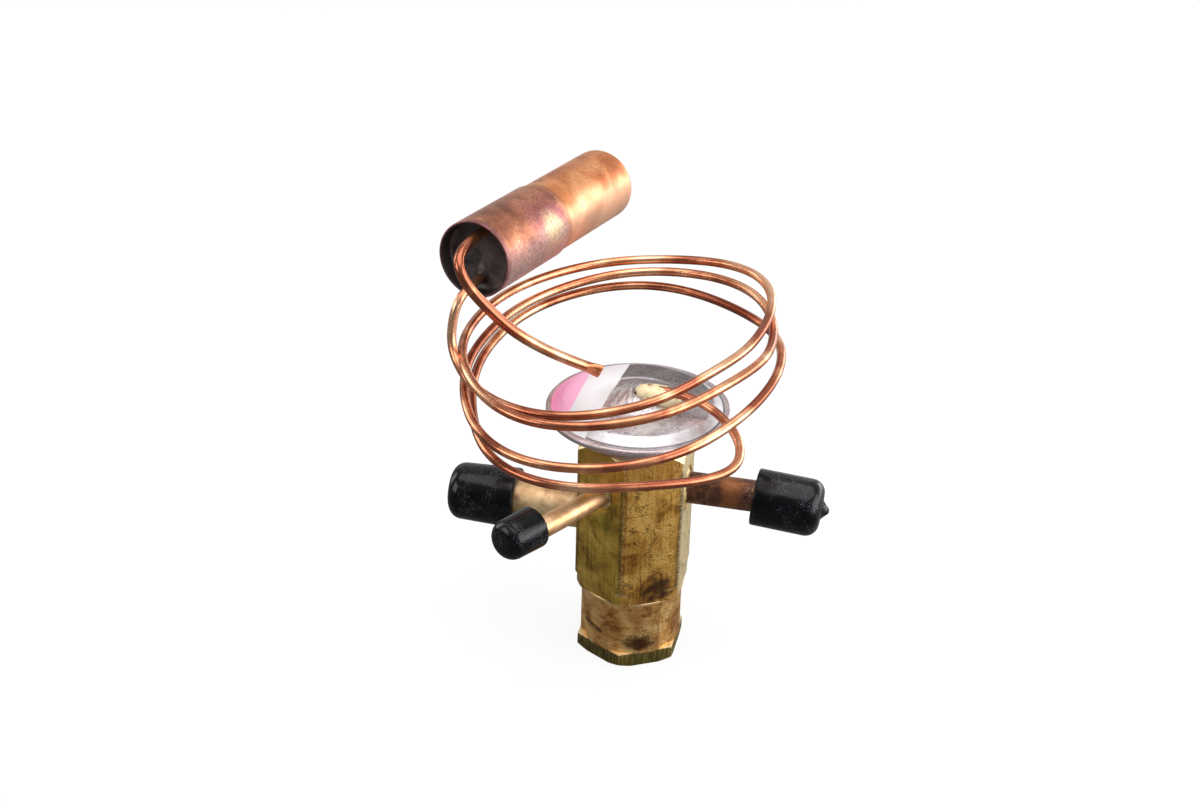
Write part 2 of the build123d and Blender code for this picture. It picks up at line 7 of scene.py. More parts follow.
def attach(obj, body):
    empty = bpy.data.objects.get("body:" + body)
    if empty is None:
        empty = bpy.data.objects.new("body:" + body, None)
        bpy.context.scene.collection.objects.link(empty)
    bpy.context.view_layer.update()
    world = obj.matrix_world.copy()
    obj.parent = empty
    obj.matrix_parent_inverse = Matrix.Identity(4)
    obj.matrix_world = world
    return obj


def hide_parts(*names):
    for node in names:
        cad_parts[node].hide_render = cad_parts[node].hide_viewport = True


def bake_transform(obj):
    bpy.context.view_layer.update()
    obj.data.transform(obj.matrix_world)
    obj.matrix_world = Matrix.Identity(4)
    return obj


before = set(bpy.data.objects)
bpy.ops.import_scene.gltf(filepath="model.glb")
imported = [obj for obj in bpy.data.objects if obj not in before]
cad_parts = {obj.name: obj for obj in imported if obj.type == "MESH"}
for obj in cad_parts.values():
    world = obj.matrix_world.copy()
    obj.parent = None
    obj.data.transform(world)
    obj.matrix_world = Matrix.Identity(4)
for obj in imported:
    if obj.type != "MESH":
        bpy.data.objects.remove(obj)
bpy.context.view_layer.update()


MM = 0.001                    # the pieces below are drawn in millimetres
STEPS = 128                   # faces round a turned piece

# ---- sizes of the valve ----------------------------------------------------------------------
HEX_FLATS = 31.75
BODY_BOTTOM, BAND_TOP, HEX_BOTTOM, HEX_TOP = 23.2, 26.4, 28.3, 70.1
SHOULDER_TOP, NECK_TOP, SPIGOT_BOTTOM = 74.6, 76.4, 11.0
BAND_RADIUS, SHOULDER_RADIUS, NECK_RADIUS, SPIGOT_RADIUS = 17.2, 15.4, 11.5, 12.5
NUT_BORE_RADIUS, NUT_BORE_TOP, CHAMBER_RADIUS, CHAMBER_TOP = 10.2, 20.0, 9.7, 47.5
SPOT_DEPTH, PORT_STEP, PORT_START = 0.5, 1.35, 8.0

# Each stub: its heading about the valve's axis, its height, radii, ends, spot face and fillet.
STUBS = {
    "inlet": dict(heading=0, height=57.3, radius=4.765, wall=0.8, seat=10.6, end=50.0,
                  spot=6.8, fillet=1.1),
    "outlet": dict(heading=180, height=45.0, radius=6.35, wall=0.8, seat=11.2, end=51.5,
                   spot=8.6, fillet=1.4),
    "equalizer": dict(heading=-120, height=58.2, radius=3.175, wall=0.76, seat=10.9, end=51.5,
                      spot=5.0, fillet=0.8),
}
# Each cover: its ends along the stub, its radii at the mouth and past it, the bend of its closed
# end, its nub, and how it sits askew: leaning and dropped downwards, or shifted across.
COVERS = {
    "inlet": dict(start=36.0, end=56.2, mouth=8.55, radius=8.6, bend=4.0, nub=2.2,
                  lean=4.5, drop=0, shift=0),
    "outlet": dict(start=36.2, end=57.2, mouth=9.3, radius=8.75, bend=4.0, nub=0,
                   lean=0, drop=0, shift=0),
    "equalizer": dict(start=42.8, end=56.0, mouth=6.3, radius=6.1, bend=3.6, nub=0,
                      lean=0, drop=-1.4, shift=-0.7),
}

HEAD_RADIUS, RIM_BEAD, RIM_BOTTOM, RIM_TOP = 26.8, 0.45, 80.7, 82.65
DIAPHRAGM, DIAPHRAGM_THICK, SHEET = 81.55, 0.25, 1.1
PAN_RADIUS, PAN_BOTTOM, PLATEAU = 19.5, 74.8, 84.8
LABEL_CHORD, LABEL_TURN, LABEL_THICK = -8.75, -4.7, 0.12

BULB_MOUTH = Vector((-47.8, -8.0, 127.3))
BULB_HEADING, BULB_SLOPE = radians(74.4), radians(-3.1)
BULB_AXIS = Vector((cos(BULB_HEADING) * cos(BULB_SLOPE), sin(BULB_HEADING) * cos(BULB_SLOPE),
                    sin(BULB_SLOPE)))
BULB_SIDE = Vector((0.697, -0.233, -0.677))       # square to the axis, to the right and down
BULB_LENGTH, BULB_RADIUS, SLEEVE_RADIUS, SLEEVE_LENGTH, BULB_WALL = 78.0, 11.05, 11.55, 36.5, 0.8
CUP_DEPTH, TUBE_OFFSET = 5.5, 7.0

CAPILLARY_RADIUS, CHARGE_RADIUS = 1.35, 1.6
COIL_CENTRE = (-6.5, -1.0)
COIL_FIRST, COIL_LAST = -150, 1010            # degrees, through all its turns
KNOT_STEP, COIL_STEP = 40, 10
# Reach from the coil's centre and height, for every ninth of a turn of the hand-wound coil.
COIL_KNOTS = [
    (46.0, 98.5), (43.0, 99.0), (37.5, 102.5), (34.5, 106.0), (40.5, 107.5), (53.5, 110.0),
    (51.5, 106.5), (47.0, 104.0), (44.0, 103.0), (46.0, 102.0), (49.0, 100.0), (45.0, 102.5),
    (42.0, 106.0), (44.5, 105.0), (49.5, 106.5), (48.0, 104.0), (43.0, 100.5), (40.5, 98.5),
    (46.0, 95.0), (55.0, 91.5), (52.0, 93.0), (47.0, 97.5), (47.5, 101.0), (49.0, 98.5),
    (48.5, 99.0), (45.0, 96.0), (42.0, 91.5), (43.5, 87.0), (52.5, 84.5), (51.0, 85.0),
]

SPRING_SEAT, SPRING_TOP = 30.0, 40.1          # the top leaves room for the carrier's stroke
SPRING_RADIUS, SPRING_WIRE, SPRING_TURN = 6.2, 0.8, 1620


# ---- modelling -------------------------------------------------------------------------------

def clear_selection():
    """Nothing selected, in object mode."""
    if bpy.context.object and bpy.context.object.mode != "OBJECT":
        bpy.ops.object.mode_set(mode="OBJECT")
    bpy.ops.object.select_all(action="DESELECT")


def pick(piece):
    """Only this piece selected and active."""
    clear_selection()
    piece.select_set(True)
    bpy.context.view_layer.objects.active = piece


def apply_modifier(piece, kind, **settings):
    """Adds one modifier, sets it and applies it."""
    pick(piece)
    modifier = piece.modifiers.new(kind.lower(), kind)
    for name, value in settings.items():
        setattr(modifier, name, value)
    bpy.ops.object.modifier_apply(modifier=modifier.name)


def turn(name, outline, steps=STEPS):
    """Turned piece: the outline is drawn point by point, closed, and spun about Z."""
    clear_selection()
    bpy.ops.mesh.primitive_plane_add(size=MM, location=(0, 0, 0))
    piece = bpy.context.object
    piece.name = piece.data.name = name
    bpy.ops.object.mode_set(mode="EDIT")
    bpy.ops.mesh.select_all(action="SELECT")
    bpy.ops.mesh.merge(type="CENTER")
    radius, height = outline[0]
    bpy.ops.transform.translate(value=(radius * MM, 0, height * MM))
    for start, stop in zip(outline, outline[1:] + outline[:1]):
        step = ((stop[0] - start[0]) * MM, 0, (stop[1] - start[1]) * MM)
        bpy.ops.mesh.extrude_vertices_move(TRANSFORM_OT_translate={"value": step})
    bpy.ops.mesh.select_all(action="SELECT")
    bpy.ops.mesh.remove_doubles(threshold=1e-7)
    bpy.ops.mesh.spin(steps=steps, angle=2 * pi, center=(0, 0, 0), axis=(0, 0, 1))
    bpy.ops.mesh.select_all(action="SELECT")
    bpy.ops.mesh.remove_doubles(threshold=1e-6)
    bpy.ops.mesh.delete_loose()
    bpy.ops.mesh.select_all(action="SELECT")
    bpy.ops.mesh.normals_make_consistent(inside=False)
    bpy.ops.object.mode_set(mode="OBJECT")
    return piece


def arc(centre, radius, start, stop, steps=8):
    """Points of a round stretch of an outline, with angles in degrees from +radius."""
    turns = [radians(start + (stop - start) * k / steps) for k in range(steps + 1)]
    return [(centre[0] + radius * cos(t), centre[1] + radius * sin(t)) for t in turns]


def bar(name, radius, bottom, top, sides=STEPS):
    """Straight bar along Z with this many sides."""
    clear_selection()
    bpy.ops.mesh.primitive_cylinder_add(
        vertices=sides, radius=radius * MM, depth=(top - bottom) * MM,
        location=(0, 0, (bottom + top) / 2 * MM))
    piece = bpy.context.object
    piece.name = piece.data.name = name
    settle(piece)
    return piece


def settle(piece, turned=(0, 0, 0), at=(0, 0, 0)):
    """Turns and moves a piece, then puts its place into its mesh."""
    pick(piece)
    bpy.ops.object.transform_apply(location=True, rotation=True, scale=True)
    piece.rotation_euler = turned
    piece.location = [c * MM for c in at]
    bpy.ops.object.transform_apply(location=True, rotation=True, scale=True)


def cut(piece, tool, operation="DIFFERENCE"):
    """Cuts a piece with a tool, or joins them, and clears the tool away."""
    apply_modifier(piece, "BOOLEAN", object=tool, operation=operation, solver="EXACT")
    bpy.data.objects.remove(tool)


def break_edges(piece, width, segments=3, angle=28):
    """Rounds every sharp edge a little and shades the rest smooth."""
    apply_modifier(piece, "BEVEL", width=width * MM, segments=segments,
                   limit_method="ANGLE", angle_limit=radians(angle), miter_outer="MITER_ARC")
    smooth(piece)


def smooth(piece, angle=35):
    """Smooth shading across all but sharp edges."""
    pick(piece)
    bpy.ops.object.shade_smooth_by_angle(angle=radians(angle))


def ripple(piece, size, depth, refine=0):
    """Uneven surface: lumps of a size and depth in millimetres."""
    if refine:
        apply_modifier(piece, "SUBSURF", subdivision_type="SIMPLE", levels=refine,
                       render_levels=refine)
    clouds = bpy.data.textures.new(piece.name + "_lumps", "CLOUDS")
    clouds.noise_scale = size * MM
    clouds.noise_depth = 1
    apply_modifier(piece, "DISPLACE", texture=clouds, texture_coords="LOCAL",
                   strength=depth * MM, mid_level=0.5)


def along_stub(piece, stub):
    """Lays a piece that was made about Z along a stub."""
    settle(piece, (0, pi / 2, radians(stub["heading"])), (0, 0, stub["height"]))


def along_bulb(piece):
    """Lays a piece that was made about Z, from its mouth up, along the bulb."""
    settle(piece, (0, pi / 2 - BULB_SLOPE, BULB_HEADING), BULB_MOUTH)


def coat(piece, material):
    """One material all over a piece."""
    piece.data.materials.clear()
    piece.data.materials.append(material)


def dress(piece, material, slot, body, *nodes):
    """Gives a finished piece its material, the body it rides on and the nodes it stands for."""
    coat(piece, material)
    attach(piece, body)
    if nodes:
        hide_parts(*nodes)


# ---- shader maths ----------------------------------------------------------------------------

class Shade:
    """A value of one material's nodes: arithmetic on it adds Math nodes."""

    def __init__(self, tree, link=None):
        self.tree = tree
        self.link = link

    def node(self, kind, settings, sockets, output=0):
        """Adds any node: its settings first, then its sockets' values or links."""
        node = self.tree.nodes.new("ShaderNode" + kind)
        for name, value in settings.items():
            if name == "stops":
                self.set_stops(node.color_ramp, value)
            else:
                setattr(node, name, value)
        for name, value in sockets.items():
            if isinstance(value, Shade):
                self.tree.links.new(value.link, node.inputs[name])
            else:
                node.inputs[name].default_value = value
        return Shade(self.tree, node.outputs[output]) if node.outputs else None

    @staticmethod
    def set_stops(ramp, stops):
        """Gives a colour ramp its stops, each a place and a colour or a grey."""
        while len(ramp.elements) < len(stops):
            ramp.elements.new(1.0)
        for element, (place, colour) in zip(ramp.elements, stops):
            element.position = place
            element.color = rgba(colour)

    def math(self, operation, *values):
        return self.node("Math", {"operation": operation}, dict(enumerate(values)))

    def __add__(self, other):
        return self.math("ADD", self, other)

    def __sub__(self, other):
        return self.math("SUBTRACT", self, other)

    def __rsub__(self, other):
        return self.math("SUBTRACT", other, self)

    def __mul__(self, other):
        return self.math("MULTIPLY", self, other)

    def __pow__(self, other):
        return self.math("POWER", self, other)

    def __abs__(self):
        return self.math("ABSOLUTE", self)

    __radd__ = __add__
    __rmul__ = __mul__


def rgba(colour):
    """Four numbers from a grey, three or four numbers."""
    if isinstance(colour, (int, float)):
        colour = (colour,) * 3
    return tuple(colour) if len(colour) == 4 else (*colour, 1.0)


def bare_nodes(owner):
    """Turns on the nodes of a material or a world, and empties them."""
    owner.use_nodes = True
    owner.node_tree.nodes.clear()
    return Shade(owner.node_tree)


def start_material(name):
    """A new material, and its place on the piece in millimetres."""
    material = bpy.data.materials.new(name)
    here = bare_nodes(material).node("TexCoord", {}, {}, "Object")
    return material, stretch(here, (1 / MM,) * 3)


def surface(material, colour, metallic, rough, bump=None, bump_depth=0.05, **constants):
    """Closes a material with one Principled surface, bumped by a height in millimetres."""
    shade = Shade(material.node_tree)
    sockets = {"Base Color": colour, "Metallic": metallic, "Roughness": rough}
    sockets.update({name.replace("_", " "): value for name, value in constants.items()})
    if bump is not None:
        sockets["Normal"] = shade.node("Bump", {}, {
            "Height": bump, "Distance": bump_depth * MM, "Strength": 1.0})
    principled = shade.node("BsdfPrincipled", {}, sockets)
    shade.node("OutputMaterial", {}, {"Surface": principled})
    return material


def place_math(operation, here, other, output=0):
    """Vector maths on a place; output 1 is its single number."""
    return here.node("VectorMath", {"operation": operation}, {0: here, 1: other}, output)


def stretch(here, factors):
    """The place with each of its directions scaled."""
    return place_math("MULTIPLY", here, factors)


def noise(here, scale, detail=4.0, roughness=0.55, distortion=0.0):
    """Cloudy value about 0.5, with this many clouds to the millimetre."""
    return here.node("TexNoise", {}, {
        "Vector": here, "Scale": scale, "Detail": detail, "Roughness": roughness,
        "Distortion": distortion})


def ease(value, low, high):
    """0 below low, 1 above high, smooth between; falling where high is the smaller."""
    return value.node("MapRange", {"interpolation_type": "SMOOTHSTEP"}, {
        "Value": value, "From Min": low, "From Max": high})


def mix(factor, first, second):
    """Colour that goes from the first to the second as factor goes from 0 to 1."""
    link = next(part for part in (factor, first, second) if isinstance(part, Shade))
    colours = [part if isinstance(part, Shade) else rgba(part) for part in (first, second)]
    return link.node("Mix", {"data_type": "RGBA"}, {
        0: factor, 6: colours[0], 7: colours[1]}, 2)


def ramp(value, *stops):
    """Colour ramp over a value."""
    return value.node("ValToRGB", {"stops": stops}, {"Fac": value})


def part_of(here, axis):
    """One coordinate of a place."""
    return here.node("SeparateXYZ", {}, {0: here}, "XYZ".index(axis))


def round_axis(here):
    """The three coordinates of a place, and how far it lies from the valve's axis."""
    x, y, z = (part_of(here, axis) for axis in "XYZ")
    return x, y, z, (x * x + y * y) ** 0.5


def wander(here, scale, amount):
    """The place, pushed about by soft noise so that edges of patches run unevenly."""
    push = here.node("TexNoise", {}, {"Vector": here, "Scale": scale, "Detail": 3.0}, 1)
    push = stretch(place_math("SUBTRACT", push, (0.5, 0.5, 0.5)), (2 * amount,) * 3)
    return place_math("ADD", here, push)


def patch(here, centre, size, soft):
    """1 inside a round patch about a point, fading to 0 at its size."""
    return ease(place_math("DISTANCE", here, centre, 1), size, size * (1 - soft))


def along_line(here, start, heading):
    """How far a place lies along a line, and how far off it."""
    rest = place_math("SUBTRACT", here, start)
    off = place_math("CROSS_PRODUCT", rest, heading)
    return (place_math("DOT_PRODUCT", rest, heading, 1),
            place_math("DISTANCE", off, (0, 0, 0), 1))


def cracks(here, scale, width):
    """1 on a net of hairlines with this many meshes to the millimetre."""
    edge = here.node("TexVoronoi", {"feature": "DISTANCE_TO_EDGE"}, {
        "Vector": wander(here, scale * 1.5, 0.5 / scale), "Scale": scale})
    return ease(edge, width, width * 0.3)


# ---- finishes --------------------------------------------------------------------------------

def aged_brass():
    """Hexagon bar: olive on its left, brown and scratched in front, bright where turned."""
    material, here = start_material("aged_brass")
    x, _, z, radius = round_axis(here)
    streaks = noise(stretch(here, (1, 1, 0.05)), 1.5, 5)
    clouds = noise(here, 0.13, 6, 0.62, 0.6)
    grain = noise(here, 1.7, 4, 0.7)
    tone = clouds * 0.62 + streaks * 0.22 + grain * 0.16
    olive = ramp(tone, (0.40, (0.22, 0.125, 0.016)), (0.49, (0.54, 0.335, 0.052)),
                 (0.58, (0.80, 0.53, 0.12)))
    brown = ramp(tone, (0.40, (0.27, 0.110, 0.020)), (0.48, (0.60, 0.305, 0.060)),
                 (0.57, (0.92, 0.55, 0.15)))
    colour = mix(ease(x, -0.25, 0.25), olive, brown)
    colour = mix(ease(z, 58.0, 72.0) * ease(clouds, 0.42, 0.6) * 0.6, colour,
                 (0.42, 0.16, 0.03))
    colour = mix(patch(wander(here, 0.5, 2.0), OLIVE_SPOT, 5.0, 0.8) * 0.3, colour,
                 (0.22, 0.24, 0.03))
    # Painted highlight: the right-hand flat is painted pale gold, streaked, as if lit from the
    # right.
    colour = mix(ease(x, 15.3, 15.75) * (0.65 + 0.35 * streaks), colour, (0.95, 0.80, 0.46))
    net = cracks(here, 0.11, 0.022) * ease(noise(here, 0.14, 2), 0.44, 0.50)
    hairlines = cracks(stretch(here, (0.7, 0.7, 2.4)), 0.22, 0.030) * ease(clouds, 0.48, 0.54)
    hairlines = hairlines * ease(x, -1.0, 1.0)
    uneven = wander(here, 0.25, 0.8)
    for middle, heading, half in SCRATCHES:
        reach, off = along_line(uneven, middle, heading)
        hairlines = hairlines + ease(off, 0.22, 0.08) * ease(abs(reach), half, half * 0.8)
    lines = net.math("MINIMUM", net * ease(x, -4.0, 2.0) + hairlines, 1.0)
    colour = mix(lines * 0.62, colour, (0.035, 0.014, 0.004))
    corner = ease(radius, 17.55, 18.05) * ease(z, 69.0, 66.0)
    colour = mix(corner * ease(grain, 0.35, 0.6) * 0.8, colour, (0.07, 0.045, 0.018))
    smear = patch(wander(stretch(here, (1, 1, 1.15)), 0.30, 6.0), BODY_STAIN, 8.5, 0.9)
    smear = ease(smear * (0.25 + 1.5 * grain), 0.12, 0.95)
    colour = mix(smear * 0.92, colour, (0.045, 0.020, 0.011))
    top_turned = ease(z - (HEX_TOP + (CORNER_REACH - radius) * TOP_SLOPE), -0.30, -0.06)
    low_turned = ease(radius - (BAND_RADIUS + (z - BAND_TOP) * LOW_SLOPE), -0.22, -0.04)
    low_turned = low_turned * ease(z, 28.6, 28.2) * ease(z, 26.2, 26.5)
    turned_faces = top_turned.math("MAXIMUM", top_turned, low_turned)
    colour = mix(turned_faces * (0.35 + 0.65 * clouds), colour, (0.82, 0.66, 0.36))
    dull = 0.34 + 0.20 * grain + 0.2 * smear - 0.08 * turned_faces
    return surface(material, colour, 0.85, dull, streaks * 0.5 + grain * 0.35 - lines * 0.9)


def pink_brass():
    """Seal cap: machined brass gone pinkish brown, dark where it was handled."""
    material, here = start_material("pink_brass")
    x, _, z, radius = round_axis(here)
    clouds = noise(here, 0.17, 6, 0.62, 0.7)
    rings = noise(stretch(here, (0.1, 0.1, 2.6)), 1.0, 4)
    grain = noise(here, 1.9, 4, 0.7)
    colour = ramp(clouds * 0.62 + rings * 0.16 + grain * 0.22,
                  (0.40, (0.30, 0.120, 0.030)), (0.48, (0.72, 0.36, 0.105)),
                  (0.57, (0.94, 0.60, 0.24)))
    crazing = cracks(here, 0.75, 0.07) * ease(x, 2.0, 8.0) * ease(clouds, 0.40, 0.52)
    colour = mix(crazing * 0.75, colour, (0.17, 0.080, 0.022))
    stain = patch(wander(stretch(here, (0.85, 1, 1.5)), 0.55, 3.4), CAP_STAIN, 8.0, 0.95)
    stain = ease(stain * (0.25 + 1.5 * grain), 0.05, 0.95)
    colour = mix(stain * 0.9, colour, (0.050, 0.018, 0.010))
    reach, off = along_line(here, GOUGE_MIDDLE, GOUGE_HEADING)
    gouge = ease(off, 1.2, 0.4) * ease(abs(reach), 5.0, 3.4)
    colour = mix(gouge * 0.85, colour, (0.040, 0.020, 0.012))
    flats = noise(stretch(here, (1, 1, 0.1)), 1.6, 4)
    base = ramp(flats * 0.6 + clouds * 0.4, (0.36, (0.065, 0.050, 0.012)),
                (0.50, (0.19, 0.145, 0.035)), (0.64, (0.34, 0.26, 0.08)))
    colour = mix(ease(z, 4.75, 4.45), colour, base)
    # Painted highlight: a pale line painted on the ledge atop the hexagon, round the barrel.
    ledge_highlight = ease(z, 4.50, 4.62) * ease(z, 4.90, 4.78) * ease(radius, 15.40, 15.55)
    colour = mix(ledge_highlight, colour, (0.85, 0.70, 0.40))
    # Painted highlight: the top lip is painted pale.
    colour = mix(ease(z, 21.7, 22.1) * 0.7, colour, (0.80, 0.56, 0.30))
    rough = 0.30 + 0.16 * clouds + 0.1 * grain
    return surface(material, colour, 0.85, rough, rings * 0.4 + grain * 0.4 - crazing * 0.6)


def drawn_copper(name, bright, dark, rough):
    """Copper tube with soft tarnish clouds and a fine grain."""
    material, here = start_material(name)
    clouds = noise(here, 0.22, 5, 0.55, 0.7)
    grain = noise(here, 1.3, 4, 0.7)
    tarnish = ease(clouds * 0.85 + grain * 0.15, 0.70, 0.36)
    colour = mix(1 - tarnish, bright, dark)
    colour = mix(ease(grain, 0.55, 0.8) * 0.25, colour, dark)
    return surface(material, colour, 0.92, rough + 0.12 * grain, clouds)


def inlet_copper():
    """Inlet stub: browned by the torch, with one rubbed orange stretch and a pale end."""
    material, here = start_material("inlet_copper")
    clouds = noise(here, 0.35, 5, 0.6, 0.6)
    grain = noise(here, 2.2, 4, 0.7)
    x = part_of(wander(here, 0.3, 3.0), "X")
    colour = ramp(clouds * 0.7 + grain * 0.3, (0.36, (0.050, 0.024, 0.018)),
                  (0.50, (0.15, 0.065, 0.038)), (0.64, (0.28, 0.13, 0.075)))
    colour = mix(ease(x, 25.0, 28.0) * ease(x, 34.0, 29.0) * 0.6, colour, (0.46, 0.17, 0.06))
    speckle = ease(x, 33.5, 35.5) * ease(grain, 0.52, 0.62)
    colour = mix(speckle * 0.6, colour, (0.62, 0.48, 0.38))
    return surface(material, colour, 0.8, 0.32 + 0.2 * grain, grain, 0.03)


def bulb_place(here):
    """How far a place lies along the bulb, and how far to its right and down."""
    reach, _ = along_line(here, BULB_MOUTH, BULB_AXIS)
    side, _ = along_line(here, BULB_MOUTH, BULB_SIDE)
    return reach, side


def tinted_copper():
    """Bulb sleeve: copper that brazing heat turned purple, straw by the seam, with a pale pink
    highlight painted along its lower right side.
    """
    material, here = start_material("tinted_copper")
    _, off = along_line(here, BULB_MOUTH, BULB_AXIS)
    reach, side = bulb_place(here)
    clouds = noise(here, 0.10, 4, 0.55, 0.6)
    grain = noise(here, 1.15, 5, 0.8)
    uneven = (clouds - 0.5) * 18
    colour = ramp(clouds * 0.8 + grain * 0.2, (0.40, (0.24, 0.075, 0.040)),
                  (0.50, (0.42, 0.150, 0.075)), (0.60, (0.64, 0.26, 0.13)))
    purple = ease(reach + uneven, 13.0, 24.0) * ease(reach + uneven, 36.0, 31.0)
    colour = mix(purple * ease(side + uneven * 0.4, -9.0, 1.0) * 0.75, colour,
                 (0.33, 0.095, 0.115))
    # Painted highlight: pale pink painted along the sleeve's lower right side.
    rosy_highlight = ease(side + uneven * 0.3, 3.0, 9.0)
    colour = mix(rosy_highlight * 0.65, colour, (0.74, 0.50, 0.47))
    straw = patch(wander(here, 0.3, 2.0), STRAW_SPOT, 8.0, 0.8)
    colour = mix(straw * 0.7, colour, (0.80, 0.68, 0.34))
    seam = ease(reach, 34.2, 35.2)
    colour = mix(seam * 0.6, colour, (0.66, 0.26, 0.13))
    rim = ease(reach + 1.5 * (clouds - 0.5), 2.4, 0.8)
    colour = mix(rim * 0.7, colour, (0.24, 0.10, 0.13))
    speck = ease(noise(here, 1.5, 2, 0.5), 0.66, 0.72)
    colour = mix(ease(grain, 0.46, 0.62) * 0.6, colour, (0.12, 0.040, 0.035))
    colour = mix(speck * 0.5, colour, (0.86, 0.62, 0.50))
    colour = mix(ease(reach, 35.75, 35.95) * 0.75, colour, (0.16, 0.055, 0.035))
    inside = ease(off, 11.15, 11.0)
    colour = mix(inside, colour, (0.040, 0.030, 0.030))
    rough = 0.32 + 0.16 * grain + 0.1 * inside
    return surface(material, colour, 0.88 - 0.4 * inside, rough, grain, 0.025)


def shell_copper():
    """Far half of the bulb: satin orange copper with a pale highlight painted along its lower
    right, browned by the seam.
    """
    material, here = start_material("shell_copper")
    reach, side = bulb_place(here)
    clouds = noise(here, 0.09, 4, 0.55, 0.5)
    grain = noise(here, 1.10, 5, 0.8)
    colour = ramp(clouds * 0.8 + grain * 0.2, (0.40, (0.50, 0.150, 0.048)),
                  (0.50, (0.70, 0.250, 0.088)), (0.60, (0.84, 0.37, 0.16)))
    colour = mix(ease(grain, 0.46, 0.64) * 0.5, colour, (0.27, 0.085, 0.035))
    # Painted highlight: pale pink painted along the shell's lower right side.
    colour = mix(ease(side + 8 * (clouds - 0.5), 0.0, 8.0) * 0.45, colour, (0.86, 0.56, 0.40))
    colour = mix(ease(reach, 39.0, 36.6) * 0.55, colour, (0.28, 0.12, 0.07))
    spot = patch(wander(here, 0.5, 1.2), GREY_SPOT, 3.2, 0.8)
    colour = mix(spot * 0.7, colour, (0.16, 0.115, 0.105))
    colour = mix(ease(reach, 75.5, 77.5) * 0.5, colour, (0.35, 0.15, 0.08))
    return surface(material, colour, 0.88, 0.33 + 0.14 * grain, grain, 0.02)


def bulb_end_copper():
    """Dished end deep in the bulb, very dark."""
    material, here = start_material("bulb_end_copper")
    clouds = noise(here, 0.25, 4)
    colour = ramp(clouds, (0.38, (0.045, 0.036, 0.035)), (0.62, (0.115, 0.090, 0.085)))
    return surface(material, colour, 0.5, 0.40 + 0.2 * clouds, clouds)


def wound_copper():
    """Capillary: bright orange copper, redder and browner here and there along its length."""
    material, here = start_material("wound_copper")
    clouds = noise(here, 0.055, 4, 0.5, 0.4)
    colour = ramp(clouds, (0.42, (0.36, 0.110, 0.058)), (0.52, (0.66, 0.265, 0.135)),
                  (0.62, (0.90, 0.51, 0.31)))
    pinched = patch(wander(here, 0.5, 1.0), PINCH_END, 7.0, 0.7)
    colour = mix(pinched * 0.7, colour, (0.42, 0.12, 0.05))
    return surface(material, colour, 0.96, 0.17 + 0.16 * clouds)


def pressed_steel():
    """Power head: stainless sheet gone grey and lilac, darker behind, with brushed streaks on the
    hub painted near white as a highlight.
    """
    material, here = start_material("pressed_steel")
    _, y, z, radius = round_axis(here)
    clouds = noise(here, 0.11, 5, 0.6, 0.6)
    grain = noise(here, 1.5, 5, 0.75)
    colour = ramp(clouds * 0.5 + grain * 0.5, (0.40, (0.22, 0.195, 0.205)),
                  (0.49, (0.50, 0.455, 0.470)), (0.58, (0.76, 0.71, 0.73)))
    shade = ease(y + 12 * (clouds - 0.5), -2.0, 16.0) * ease(z, 84.2, 84.7)
    colour = mix(shade * 0.8, colour, (0.115, 0.110, 0.115))
    brushed_sheen = noise(stretch(here, (1.6, 0.22, 1)), 0.9, 4, 0.6)
    hub = ease(radius, 12.5, 8.5) * ease(z, 84.5, 84.9)
    # Painted highlight: near-white streaks painted on the hub, following its brushed grain.
    colour = mix(hub * ease(brushed_sheen, 0.42, 0.62) * 0.85, colour, (0.86, 0.84, 0.84))
    scuffs = noise(stretch(here, (0.5, 1.6, 1)), 0.5, 4, 0.6, 1.5)
    scuffs = ease(abs(scuffs - 0.5), 0.020, 0.004)
    colour = mix(scuffs * 0.5, colour, (0.70, 0.66, 0.66))
    rust = ease(noise(here, 0.42, 4, 0.65), 0.60, 0.68)
    colour = mix(rust * 0.65, colour, (0.17, 0.095, 0.060))
    # Painted highlight: the sloped ring is painted a lighter grey all round.
    slope = ease(radius, 21.9, 22.4) * ease(radius, 25.0, 24.6) * ease(z, 82.5, 82.9)
    colour = mix(slope * 0.65, colour, (0.56, 0.55, 0.57))
    # Painted shade: a dark line painted in the groove inside the rim.
    groove_shade = ease(radius, 24.7, 24.95) * ease(radius, 25.5, 25.2) * ease(z, 82.4, 82.6)
    colour = mix(groove_shade * 0.8, colour, (0.10, 0.085, 0.09))
    edge = ease(radius, 25.6, 26.2)
    colour = mix(edge * 0.5, colour, (0.60, 0.47, 0.47))
    return surface(material, colour, 0.88, 0.26 + 0.20 * grain, grain - scuffs * 0.4, 0.03)


def silver_solder(name, light, dark, low):
    """Solder and braze: pale, lumpy, with burnt flux in its hollows."""
    material, here = start_material(name)
    clouds = noise(here, 0.45, 5, 0.65, 0.8)
    colour = ramp(clouds, (low, dark), (low + 0.12, light))
    return surface(material, colour, 0.30, 0.32 + 0.25 * clouds, clouds, 0.10)


def black_vinyl():
    """Push-on cover: glossy black vinyl with fine dust on it."""
    material, here = start_material("black_vinyl")
    swell = noise(here, 0.20, 3)
    dust = ease(noise(here, 4.4, 1, 0.5), 0.640, 0.69) * ease(noise(here, 0.16, 2), 0.45, 0.58)
    colour = mix(dust * 0.45, (0.0012, 0.0012, 0.0018), (0.40, 0.44, 0.54))
    return surface(material, colour, 0.0, 0.15 + 0.3 * dust + 0.08 * swell,
                   swell + 0.06 * dust, 0.12, Specular_IOR_Level=0.24)


